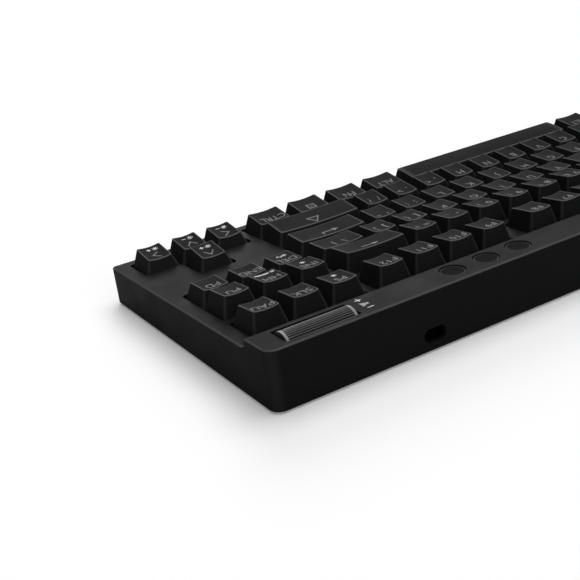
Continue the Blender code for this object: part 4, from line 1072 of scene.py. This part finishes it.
def step_profile(layout, y):
    """Height of the top along y: the deck, a hollow quarter ellipse, a rounded edge, the strip."""
    case = layout.case
    edge = case.edge_fillet
    foot = layout.strip_front - case.step_run
    share = np.clip((y - foot) / case.step_run, 0, 1)
    hollow = (case.strip_rise - edge) * (1 - np.sqrt(1 - share**2))
    over = np.clip((y - layout.strip_front) / edge, 0, 1)
    rounded = case.strip_rise - edge + edge * np.sqrt(1 - (1 - over) ** 2)
    return np.where(y < layout.strip_front, hollow, rounded)


def edge_distance(layout, x, y):
    """Distance of a place inside the case from its rounded outline."""
    middle = (layout.front + layout.rear) / 2
    radius = np.where(y < middle, layout.case.front_corner, layout.case.corner_radius)
    half_y = (layout.rear - layout.front) / 2
    dx = np.abs(x) - (layout.right - radius)
    dy = np.abs(y - middle) - (half_y - radius)
    outside = np.hypot(np.maximum(dx, 0), np.maximum(dy, 0))
    inside = np.minimum(np.maximum(dx, dy), 0)
    return np.maximum(radius - outside - inside, 0)


def top_height(layout, x, y):
    """The step profile less the rounding of the outer edge, a quarter circle."""
    radius = layout.case.edge_fillet
    reach = np.clip(edge_distance(layout, x, y) / radius, 0, 1)
    return step_profile(layout, y) - radius * (1 - np.sqrt(1 - (1 - reach) ** 2))


def cover_skin(layout):
    """The case's outside as sections across it, one at each station from front to rear.

    A station's half width follows the corner circles. A section goes up the left wall,
    over the top, whose height top_height gives, and down the right wall. Its points lie
    close on the rounding of the edge, further apart as far as the corners reach, and none
    between.
    """
    case = layout.case
    edge = case.edge_fillet * (1 - np.cos(quarter(8)))

    def near(radius):
        return np.union1d(np.round(radius * (1 - np.cos(quarter(13))), 7), np.round(edge, 7))

    hollow = layout.strip_front - case.step_run + case.step_run * np.sin(quarter(14))
    crest = layout.strip_front + edge
    at_front = layout.front + near(case.front_corner)
    at_rear = (layout.rear - near(case.corner_radius))[::-1]
    y = np.concatenate([at_front, hollow, crest[1:], at_rear])
    radius = np.where(y < hollow[0], case.front_corner, case.corner_radius)
    from_end = np.minimum(y - layout.front, layout.rear - y)
    inward = np.clip(1 - from_end / radius, 0, 1)
    half = layout.right - radius * (1 - np.sqrt(1 - inward**2))
    inmost = layout.right - case.corner_radius - case.edge_fillet * INMOST_FILLETS
    level = half - case.edge_fillet
    share = np.linspace(0, 1, 9)[1:]
    inside = level[:, None] * (1 - share) + inmost * share
    x = np.concatenate([half[:, None] - edge, inside], axis=1)
    x = np.concatenate([-x, x[:, ::-1]], axis=1)
    stations = np.broadcast_to(y[:, None], x.shape)
    top = np.stack([x, stations, top_height(layout, x, stations)], axis=-1)
    left, right = (np.stack([side * half, y, layout.base(y)], axis=-1)[:, None, :] for side in (-1, 1))
    return np.concatenate([left, top, right], axis=1)


def painted_edge_highlight(layout, points):
    """How strong the painted highlight on the case is: most where the rounding of its top edge is steep,
    some down the rear upright corners, none elsewhere on its walls.
    """
    corner = layout.case.corner_radius
    x, y, w = points.T
    distance = edge_distance(layout, x, y)
    on_edge = w > top_height(layout, x, y) - TOUCH
    share = distance / layout.case.edge_fillet
    from_peak = np.abs(share - HIGHLIGHT_PEAK) / (1 - HIGHLIGHT_PEAK)
    across = np.clip(share / HIGHLIGHT_START, 0, 1) * np.clip(1 - from_peak, 0, 1)
    dx = np.maximum(np.abs(x) - layout.right + corner, 0)
    dy = np.maximum(y - layout.rear + corner, 0)
    # A painted highlight down the rear upright corners, strongest halfway round each
    upright = 2 * dx * dy / np.maximum(dx**2 + dy**2, MM**2 / 100) * (distance < TOUCH)
    return np.maximum(CASE_EDGE_HIGHLIGHT * across * on_edge, CASE_CORNER_HIGHLIGHT * upright)


def block(name, rings):
    """A closed block from rings in the deck's frame."""
    vertices, faces = flat_ended_skin(np.asarray(rings, float))
    return add_mesh(name, vertices, faces, [])


def cut(obj, rings):
    """Takes the block of some rings away from an object with an exact Boolean."""
    helper = block("helper", rings)
    modifier = obj.modifiers.new("cut", "BOOLEAN")
    modifier.object = helper
    modifier.operation = "DIFFERENCE"
    modifier.solver = "EXACT"
    graph = bpy.context.evaluated_depsgraph_get()
    mesh = bpy.data.meshes.new_from_object(obj.evaluated_get(graph))
    obj.modifiers.clear()
    spent = (obj.data, helper.data)
    obj.data = mesh
    bpy.data.objects.remove(helper)
    for old in spent:
        bpy.data.meshes.remove(old)


def flare(edge, low, level):
    """A hole's rings as steps outwards and w: straight up from below, then a quarter circle out."""
    steps = [(edge * (1 - math.cos(a)), level - edge + edge * math.sin(a)) for a in quarter(5)]
    return [(0.0, low), *steps, (edge, level + OVERRUN)]


def flared_hole(layout, table, half_x, front, rear, radius, low, level, centre_x):
    """A hole's rings from below up to a surface, where its edge is rounded outwards."""
    rings = np.array(
        [
            ring_at(table, half_x + out, front - out, rear + out, radius + out, w)
            for out, w in flare(layout.case.opening_edge, low, level)
        ]
    )
    rings[..., 0] += centre_x
    return rings


def deck_openings(layout):
    """The holes for the blocks of keys as centre x, half width, front and rear."""
    pitch = layout.pitch
    margin = layout.case.opening_margin

    def span(left, units, first, rows):
        half = units * pitch / 2
        front = layout.row_front(first) - margin
        rear = layout.row_front(first) + rows * pitch + margin
        return left + half, half + margin, front, rear

    yield span(layout.left, MAIN_UNITS, 0, FUNCTION_ROW)
    for _, start, units, legends in MAIN_ROWS[FUNCTION_ROW]:
        yield span(layout.left + start * pitch, units * len(legends.split()), FUNCTION_ROW, 1)
    yield span(layout.side_left, SIDE_UNITS, FUNCTION_ROW, 1)
    yield span(layout.side_left, SIDE_UNITS, PAGE_ROW, 2)


def arrow_hole(layout):
    """The arrow keys' hole, a tee turned over, as rings with every corner an arc."""
    case = layout.case
    margin = case.opening_margin
    left = layout.side_left - margin
    right = layout.side_left + SIDE_UNITS * layout.pitch + margin
    up_left = left + layout.pitch
    up_right = right - layout.pitch
    shoulder = layout.pitch + margin
    head = shoulder + layout.pitch
    across = (right, right, up_right, up_right, up_left, up_left, left, left)
    along = (-margin, shoulder, shoulder, head, head, shoulder, shoulder, -margin)
    corners = np.stack([across, along], axis=-1)
    rings = []
    for out, w in flare(case.opening_edge, -case.deck_thickness - OVERRUN, 0.0):
        ring = []
        for k, corner in enumerate(corners):
            back = corners[k - 1] - corner
            ahead = corners[(k + 1) % len(corners)] - corner
            back = back / np.linalg.norm(back)
            ahead = ahead / np.linalg.norm(ahead)
            inwards = 1 if back[0] * ahead[1] - back[1] * ahead[0] < 0 else -1
            radius = case.opening_radius + inwards * out
            centre = corner - (back + ahead) * inwards * out + (back + ahead) * radius
            for a in quarter(7):
                ring.append((*(centre - (ahead * math.cos(a) + back * math.sin(a)) * radius), w))
        rings.append(ring)
    return np.array(rings)


def upright_ring(table, x, y, half, low, high, radius):
    """A rounded rectangle square to y, about x, from a low to a high w."""
    px, pw = rounded_ring(table, half, low, high, radius)
    return np.stack([px + x, np.full_like(px, y), pw], axis=-1)


def inlet_hole(layout):
    """The cable's oval hole, with a bevel at the rear wall."""
    controls = layout.controls
    w = -controls.socket_depth - controls.inlet_drop
    table = outline_table(along_x=4, along_y=2, corner_steps=8)
    bevel = controls.inlet_edge
    rings = []
    for out, y in (
        (0.0, layout.rear - layout.case.wall - OVERRUN),
        (0.0, layout.rear - bevel),
        (bevel * 0.3, layout.rear - bevel * 0.3),
        (bevel, layout.rear),
        (bevel, layout.rear + OVERRUN),
    ):
        half = controls.inlet_width / 2 + out
        low = w - controls.inlet_height / 2 - out
        high = w + controls.inlet_height / 2 + out
        rings.append(upright_ring(table, layout.inlet_x, y, half, low, high, controls.inlet_radius + out))
    return np.array(rings)


def add_cover(layout, material):
    """The top cover: the outside, less its hollows and every hole."""
    case = layout.case
    controls = layout.controls
    cover = block("case_cover", cover_skin(layout))
    inner = layout.right - case.wall
    rear = layout.rear - case.wall
    table = outline_table(along_x=2, along_y=2, corner_steps=6)
    disc = outline_table(along_x=1, along_y=1, corner_steps=12)
    under = layout.strip_under
    front = layout.front + case.wall
    radius = case.corner_radius - case.wall
    levels = (-layout.rear_drop - OVERRUN, -case.deck_thickness)
    cut(cover, [ring_at(table, inner, front, rear, radius, w) for w in levels])
    front = layout.strip_front + case.strip_wall
    levels = (STRIP_HOLLOW_LOW, under)
    cut(cover, [ring_at(table, inner, front, rear, STRIP_HOLLOW_RADIUS, w) for w in levels])
    low = -case.deck_thickness - OVERRUN
    for x, half, front, rear in deck_openings(layout):
        cut(cover, flared_hole(layout, table, half, front, rear, case.opening_radius, low, 0.0, x))
    cut(cover, arrow_hole(layout))
    low = under - OVERRUN
    level = case.strip_rise
    radius = layout.button_radius + controls.button_gap
    for x, y in layout.button_places():
        round_off = radius - OVAL_FLAT
        cut(cover, flared_hole(layout, disc, radius, y - radius, y + radius, round_off, low, level, x))
    x, y, _ = layout.wheel
    half = controls.wheel_slot / 2
    front = y - layout.slot_half
    rear = y + layout.slot_half
    cut(cover, flared_hole(layout, table, half, front, rear, controls.slot_radius, low, level, x))
    cut(cover, inlet_hole(layout))
    mesh = cover.data
    points = np.empty(len(mesh.vertices) * 3)
    mesh.vertices.foreach_get("co", points)
    points = points.reshape(-1, 3)
    # The painted highlight along the top edge and down the rear corners
    set_values(cover, "edge", painted_edge_highlight(layout, points))
    mesh.vertices.foreach_set("co", layout.world(points).ravel())
    mesh.materials.clear()
    mesh.materials.append(material)
    mesh.shade_smooth()
    mesh.set_sharp_from_angle(angle=math.radians(COVER_SHARP))
    weighted = cover.modifiers.new("even_faces", "WEIGHTED_NORMAL")
    weighted.keep_sharp = True
    weighted.weight = 100
    finish_piece(cover, "case", ["top_cover"])


# Roller and round buttons


def wheel_rings(layout):
    """The roller's skin, a radius over turn and place along its axis.

    Both ends are smooth flanges with a rounded rim. Between them the radius falls from
    each rib by the rib depth times half of one minus the cosine of the turn times the
    number of ribs.
    """
    controls = layout.controls
    half = controls.wheel_slot / 2 - controls.wheel_end_gap
    middle = half - controls.wheel_flange
    count = controls.wheel_ribs * POINTS_PER_RIB
    turn = np.arange(count) * 2 * math.pi / count
    wave = 0.5 - 0.5 * np.cos(controls.wheel_ribs * (turn - controls.wheel_phase))
    rim = controls.wheel_rim
    radius = layout.wheel_radius

    def ring(x, radii):
        radii = np.broadcast_to(radii, turn.shape)
        return np.stack([np.full(count, x), radii * np.cos(turn), radii * np.sin(turn)], axis=-1)

    end = [(half, controls.shaft_bore)]
    end += [(half - rim * (1 - math.cos(a)), radius - rim * (1 - math.sin(a))) for a in quarter(5)]
    end.append((middle + rim, radius))
    ribbed = radius - CREST_SINK_SHARE * rim - controls.wheel_rib_depth * wave
    rings = [ring(-x, r) for x, r in end]
    rings += [ring(x, ribbed) for x in np.linspace(-middle, middle, 7)]
    rings += [ring(x, r) for x, r in end[::-1]]
    return np.array(rings)


def add_wheel(layout, material):
    """The ribbed roller on its shaft, closed through its bore."""
    rings = wheel_rings(layout)
    count, points, _ = rings.shape
    vertices = rings.reshape(-1, 3) + np.array(layout.wheel)
    faces = outward(vertices, [grid_faces(count, points, closed=True)])
    obj = add_mesh("roller", layout.world(vertices), faces, [material], sharp=50.0)
    depth = layout.wheel_radius - np.hypot(rings[..., 1], rings[..., 2]).ravel()
    crest = np.clip(1 - depth / layout.controls.wheel_rib_depth, 0, 1)
    # A painted highlight along the ribs' crests and on the flanges
    set_values(obj, "edge", ROLLER_CREST_HIGHLIGHT * crest**3)
    finish_piece(obj, "volume_wheel", ["volume_wheel"])


def add_buttons(layout, material):
    """Round buttons turned from a profile: a dished top with a raised rim, a skirt, a lip and a stem."""
    dish = layout.controls.button_dish
    radius = layout.button_radius
    top = layout.case.strip_rise - layout.controls.button_recess
    under = layout.strip_under - BUTTON_SEAT
    profile = [(DISH_FLAT_SHARE * radius * k / 3, top - dish) for k in range(1, 4)]
    for share in DISH_SHARES:
        slope = ((share - DISH_FLAT_SHARE) / DISH_SLOPE_SHARE) ** 2
        profile.append((radius * share, top - dish * (1 - slope)))
    rim = len(profile)
    turns = np.linspace(BUTTON_RIM_START, 1, 7) * math.pi / 2
    for a in turns:
        profile.append((radius - BUTTON_RIM * (1 - math.sin(a)), top - BUTTON_RIM * (1 - math.cos(a))))
    lip = radius + BUTTON_LIP
    foot = under - BUTTON_LIP_THICKNESS
    profile += [(radius, under), (lip, under), (lip, foot), (BUTTON_STEM, foot)]
    profile = np.array([*profile, (BUTTON_STEM, BUTTON_STEM_END)])
    # A painted highlight on the rounded rim, strongest halfway round it
    highlight_mask = np.zeros(len(profile))
    highlight_mask[rim : rim + len(turns)] = BUTTON_RIM_HIGHLIGHT * np.sin(2 * turns)
    cos, sin = circle(BUTTON_SIDES)
    w = np.broadcast_to(profile[:, 1:], (len(profile), BUTTON_SIDES))
    for number, (x, y) in enumerate(layout.button_places(), 1):
        rings = np.stack([x + profile[:, :1] * cos, y + profile[:, :1] * sin, w], axis=-1)
        vertices, faces = closed_skin(rings)
        node = f"round_button_{number}"
        obj = add_mesh(f"button_cap_{number}", layout.world(vertices), faces, [material], sharp=35.0)
        set_values(obj, "edge", np.append(np.repeat(highlight_mask, BUTTON_SIDES), [0.0, 0.0]))
        finish_piece(obj, node, [node])


def add_strip_signs(layout, inks):
    """Between roller and buttons: a loudspeaker sign with a plus and a minus in line with it."""
    for name, (ink, size, from_rear) in STRIP_SIGNS.items():
        vertices, faces = arrays(flat_shape(MARKS[name]))
        vertices[:, :2] *= size * MM
        vertices[:, :2] += (layout.right - SIGNS_FROM_SIDE, layout.rear - from_rear * MM)
        level = layout.case.strip_rise + SIGN_LIFT
        vertices[:, 2] = level + (vertices[:, 2] + 0.5) * SIGN_THICKNESS
        obj = add_mesh(f"sign_{name}", layout.world(vertices), [faces], [inks[ink]], sharp=30.0)
        finish_piece(obj, "case", [])


# Underside and socket


def add_pads(material):
    """The rubber pads: an oval whose lower edge is rounded, on each pad's own box."""
    table = outline_table(along_x=6, along_y=1, corner_steps=12)
    for place in ("front_left", "front_right", "rear_left", "rear_right"):
        node = f"rubber_foot_{place}"
        low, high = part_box(node)
        half_x = (high.x - low.x) / 2
        half_y = (high.y - low.y) / 2
        steps = [(PAD_RIM * (1 - math.sin(a)), low.z + PAD_RIM * (1 - math.cos(a))) for a in quarter(6)]
        rings = []
        for inset, z in (*steps, (0.0, high.z)):
            half = half_y - inset
            rings.append(ring_at(table, half_x - inset, -half, half, half - OVAL_FLAT, z))
        rings = np.array(rings)
        rings[..., 0] += (low.x + high.x) / 2
        rings[..., 1] += (low.y + high.y) / 2
        vertices, faces = closed_skin(rings)
        obj = add_mesh(f"pad_{place}", vertices, faces, [material])
        finish_piece(obj, "case", [node])


def add_screws(layout, material):
    """Flat-headed screws under the tray: discs with a cross-shaped recess, as height over radius."""
    steps = np.linspace(0, 1, 14)[1:, None]
    cos, sin = circle(SCREW_SIDES)
    px = SCREW_RADIUS * steps * cos
    py = SCREW_RADIUS * steps * sin
    in_arm = (np.minimum(np.abs(px), np.abs(py)) < SCREW_ARM) & (np.hypot(px, py) < SCREW_REACH)
    height = np.where(in_arm, -SCREW_RECESS, SCREW_DOME * (1 - steps**4))
    underside = layout.case.pad_stand
    low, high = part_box("bottom_tray")
    parts = []
    for share_x, shares_y in SCREW_SHARES:
        for share_y in shares_y:
            x = low.x + (high.x - low.x) * share_x
            y = low.y + (high.y - low.y) * share_y
            rings = np.stack([x + px, y + py, underside - height], axis=-1)
            wall = rings[-1:].copy()
            wall[..., 2] = underside + SCREW_DEPTH
            parts.append(closed_skin(np.concatenate([rings, wall])))
    vertices, faces = joined(parts)
    obj = add_mesh("case_screws", vertices, faces, [material], sharp=30.0)
    finish_piece(obj, "case", [])


def add_socket_tongue(layout, material):
    """The plastic tongue inside the cable socket, a rounded plate."""
    w = -layout.controls.socket_depth
    table = outline_table(along_x=4, along_y=1, corner_steps=4)
    mouth = layout.rear - SOCKET_FROM_REAR
    rings = []
    for inset, behind in TONGUE_SECTIONS:
        half_w = TONGUE_HALF_HEIGHT - inset
        across = (TONGUE_HALF_WIDTH - inset, w - half_w, w + half_w, TONGUE_RADIUS)
        rings.append(upright_ring(table, layout.inlet_x, mouth - behind, *across))
    vertices, faces = closed_skin(np.array(rings))
    obj = add_mesh("socket_tongue", layout.world(vertices), faces, [material], sharp=35.0)
    finish_piece(obj, "case", [])


# Floor, light and camera


def add_placed(name, data, right, up, back, place=(0, 0, 0)):
    """A lamp or camera that looks against back, turned by its own directions."""
    obj = add_object(name, data)
    obj.matrix_world = Matrix((*np.stack([right, up, back, place], axis=-1).tolist(), (0, 0, 0, 1)))
    return obj


def add_lamp(name, strength, spread, direction):
    """A broad soft light that shines along a direction."""
    data = bpy.data.lights.new(name, "SUN")
    data.energy = strength
    data.angle = math.radians(spread)
    along = np.array(direction, float) / np.linalg.norm(direction)
    side = np.cross(along, (0.0, 1.0, 0.0))
    side /= np.linalg.norm(side)
    add_placed(name, data, side, np.cross(side, along), -along)


def add_floor(look):
    """A plain pale floor, a flat grid of painted board, which the camera alone sees a little whiter."""
    cells = 2 * FLOOR_REACH
    reach = np.linspace(-FLOOR_REACH, FLOOR_REACH, cells + 1)
    x, y = np.meshgrid(reach, reach)
    vertices = np.stack([x.ravel(), y.ravel(), np.zeros(x.size)], axis=-1)
    corner = (np.arange(cells)[:, None] * (cells + 1) + np.arange(cells)).ravel()
    faces = np.stack([corner, corner + 1, corner + cells + 2, corner + cells + 1], axis=-1)
    material, tree, shader = patterned(
        "painted_board_floor", look.floor, 0.9, ((300, 2.0, EVEN), 0.995, 1), specular=0.1
    )
    seen = add_node(tree, "ShaderNodeLightPath", {}).outputs["Is Camera Ray"]
    glow = add_node(tree, "ShaderNodeMath", {"operation": "MULTIPLY", 0: seen, 1: look.floor_glow})
    white = {"Emission Color": shade(WHITE, 1), "Emission Strength": glow.outputs["Value"]}
    fill_node(tree, shader, white)
    add_mesh("floor", vertices, [faces], [material])


def set_surroundings(scene, look):
    """White for the camera and in reflections, and a plain grey light on everything else."""
    world = bpy.data.worlds.new("studio")
    world.use_nodes = True
    tree = world.node_tree
    path = add_node(tree, "ShaderNodeLightPath", {})
    seen = path.outputs["Is Camera Ray"]
    for ray in ("Is Glossy Ray", "Is Transmission Ray"):
        settings = {"operation": "MAXIMUM", 0: seen, 1: path.outputs[ray]}
        seen = add_node(tree, "ShaderNodeMath", settings).outputs["Value"]
    ranged = add_node(tree, "ShaderNodeMapRange", {"Value": seen, "To Min": look.ambient, "To Max": 1.0})
    lit = {"Color": shade(WHITE, 1), "Strength": ranged.outputs["Result"]}
    fill_node(tree, tree.nodes["Background"], lit)
    scene.world = world


def add_camera(scene, look):
    """The view from behind the right side, looking down a little."""
    data = bpy.data.cameras.new("camera")
    data.lens = look.lens
    data.sensor_width = 36.0
    data.clip_start = 0.01
    data.clip_end = 50.0
    scene.camera = add_placed("camera", data, CAMERA_RIGHT, -CAMERA_DOWN, -CAMERA_AHEAD, EYE)


# Operators


class BuildPiece:
    """What every operator here shares."""

    bl_options = {"REGISTER", "UNDO"}

    def execute(self, context):
        self.build(Layout(context.scene))
        return {"FINISHED"}


class KEYBOARD_OT_cover(BuildPiece, Operator):
    """Add the top cover with its holes"""

    bl_idname = "keyboard.cover"
    bl_label = "Top cover"

    def build(self, layout):
        look = layout.finishes
        # Satin plastic; the tool's grain is about 0.1 mm, drawn at 0.35 mm so that the render shows it; a
        # highlight is painted along the top edge and down the rear corners
        values = (look.shell, look.shell_roughness, 0.35, 0.03, look.shell_gloss, look.rubbed)
        add_cover(layout, moulded_plastic("satin_moulded_abs_shell", *values))


class KEYBOARD_OT_caps(BuildPiece, Operator):
    """Add the keycaps in place of their plain solids"""

    bl_idname = "keyboard.caps"
    bl_label = "Keycaps"

    def build(self, layout):
        look = layout.finishes
        # Finer and duller than the case, with painted highlights on the rims and upright corners
        values = (look.cap, look.cap_roughness, 0.3, 0.02, look.cap_gloss, look.rubbed)
        add_caps(layout, moulded_plastic("matt_moulded_abs_keycap", *values))


class KEYBOARD_OT_legends(BuildPiece, Operator):
    """Add the printed legends and the white marks"""

    bl_idname = "keyboard.legends"
    bl_label = "Legends"

    def build(self, layout):
        grey = printed_ink("grey_printed_ink", layout.finishes.legend)
        white = printed_ink("white_printed_ink", layout.finishes.mark)
        add_prints(layout, "legend", grey_shapes, grey)
        add_prints(layout, "white_marks", white_shapes, white)


class KEYBOARD_OT_controls(BuildPiece, Operator):
    """Add the roller, the round buttons and the signs beside them"""

    bl_idname = "keyboard.controls"
    bl_label = "Roller and buttons"

    def build(self, layout):
        look = layout.finishes
        # The roller is smoother than the case, with painted highlights on its crests and flanges; the
        # buttons are dull, with a painted highlight on the rim
        values = (look.roller, 0.35, 0.3, 0.01, look.roller_gloss, look.rubbed)
        add_wheel(layout, moulded_plastic("glossy_moulded_abs_roller", *values))
        values = (look.button, 0.8, 0.4, 0.01, look.button_gloss, look.rubbed)
        add_buttons(layout, moulded_plastic("satin_moulded_abs_button", *values))
        grey = printed_ink("grey_strip_ink", shade(look.mark, 0.35))
        white = printed_ink("white_strip_ink", shade(look.mark, 0.8))
        add_strip_signs(layout, {"grey": grey, "white": white})


class KEYBOARD_OT_underside(BuildPiece, Operator):
    """Add the pads, the screws and the socket's tongue"""

    bl_idname = "keyboard.underside"
    bl_label = "Underside and socket"

    def build(self, layout):
        look = layout.finishes
        add_pads(moulded_rubber("moulded_rubber_pad", look.rubber))
        # Blackened heads: dark metal with a broken shine
        add_screws(layout, bare_metal("blackened_steel_screw", shade(look.steel, 0.25), 0.4, EVEN))
        # Plain dark nylon inside the socket's mouth
        tongue = moulded_plastic("moulded_nylon_tongue", look.housing, 0.5, 0.3, 0.01)
        add_socket_tongue(layout, tongue)


class KEYBOARD_OT_solids(BuildPiece, Operator):
    """Give the solids that stay in view their materials"""

    bl_idname = "keyboard.solids"
    bl_label = "Materials of the solids"

    def build(self, layout):
        look = layout.finishes
        # The tray has the coarsest grain, the encoder's nylon a finer one; both are dull
        tray = moulded_plastic("textured_moulded_abs_tray", look.tray, 0.6, 0.6, 0.05)
        nylon = moulded_plastic("moulded_nylon_encoder", look.housing, 0.5, 0.4, 0.02)
        # Bare steel shines in lines along the way it was drawn, rolled or ground
        wire = bare_metal("drawn_steel_wire", look.steel, 0.25, (0.1, 1, 1))
        chosen = {
            "bottom_tray": tray,
            "switch_plate": powder_coat("powder_coated_steel", look.coating),
            "circuit_board": board_with_housings(layout),
            # The socket's metal is given a dark colour
            "usb_socket": bare_metal("nickel_plated_steel", look.nickel, 0.3, (1, 0.1, 1)),
            "wheel_bracket": bare_metal("rolled_zinc_plated_steel", look.steel, 0.35, (0.1, 1, 1)),
            "wheel_encoder": nylon,
            "wheel_shaft": bare_metal("ground_steel_shaft", look.steel, 0.2, (1, 0.2, 0.2)),
            "tilt_foot_left": tray,
            "tilt_foot_right": tray,
        }
        for name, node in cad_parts.items():
            material = wire if name.startswith("wire_") else chosen.get(name)
            if material:
                node.data.materials.clear()
                node.data.materials.append(material)


class KEYBOARD_OT_stage(BuildPiece, Operator):
    """Add the floor, the light and the camera"""

    bl_idname = "keyboard.stage"
    bl_label = "Floor, light and camera"

    def build(self, layout):
        scene = layout.scene
        look = layout.stage
        add_floor(look)
        for name, (spread, direction) in LAMPS.items():
            add_lamp(f"{name}_light", getattr(look, f"{name}_strength"), spread, direction)
        set_surroundings(scene, look)
        add_camera(scene, look)
        scene.view_settings.view_transform = "Standard"


OPERATORS = (
    KEYBOARD_OT_cover,
    KEYBOARD_OT_caps,
    KEYBOARD_OT_legends,
    KEYBOARD_OT_controls,
    KEYBOARD_OT_underside,
    KEYBOARD_OT_solids,
    KEYBOARD_OT_stage,
)
GROUPS = {
    "keyboard_case": CaseSizes,
    "keyboard_caps": KeycapSizes,
    "keyboard_controls": ControlSizes,
    "keyboard_finishes": Finishes,
    "keyboard_stage": StageLook,
}


class VIEW3D_PT_keyboard(Panel):
    """The keyboard's pieces"""

    bl_label = "Keyboard"
    bl_idname = "VIEW3D_PT_keyboard"
    bl_space_type = "VIEW_3D"
    bl_region_type = "UI"
    bl_category = "Keyboard"

    def draw(self, context):
        for operator in OPERATORS:
            self.layout.operator(operator.bl_idname)


def register():
    for name, group in GROUPS.items():
        bpy.utils.register_class(group)
        setattr(bpy.types.Scene, name, PointerProperty(type=group))
    for operator in OPERATORS:
        bpy.utils.register_class(operator)
    bpy.utils.register_class(VIEW3D_PT_keyboard)


def unregister():
    bpy.utils.unregister_class(VIEW3D_PT_keyboard)
    for operator in reversed(OPERATORS):
        bpy.utils.unregister_class(operator)
    for name, group in reversed(GROUPS.items()):
        delattr(bpy.types.Scene, name)
        bpy.utils.unregister_class(group)


def main():
    register()
    bpy.ops.keyboard.cover()
    bpy.ops.keyboard.caps()
    bpy.ops.keyboard.legends()
    bpy.ops.keyboard.controls()
    bpy.ops.keyboard.underside()
    bpy.ops.keyboard.solids()
    bpy.ops.keyboard.stage()


if __name__ == "__main__":
    main()
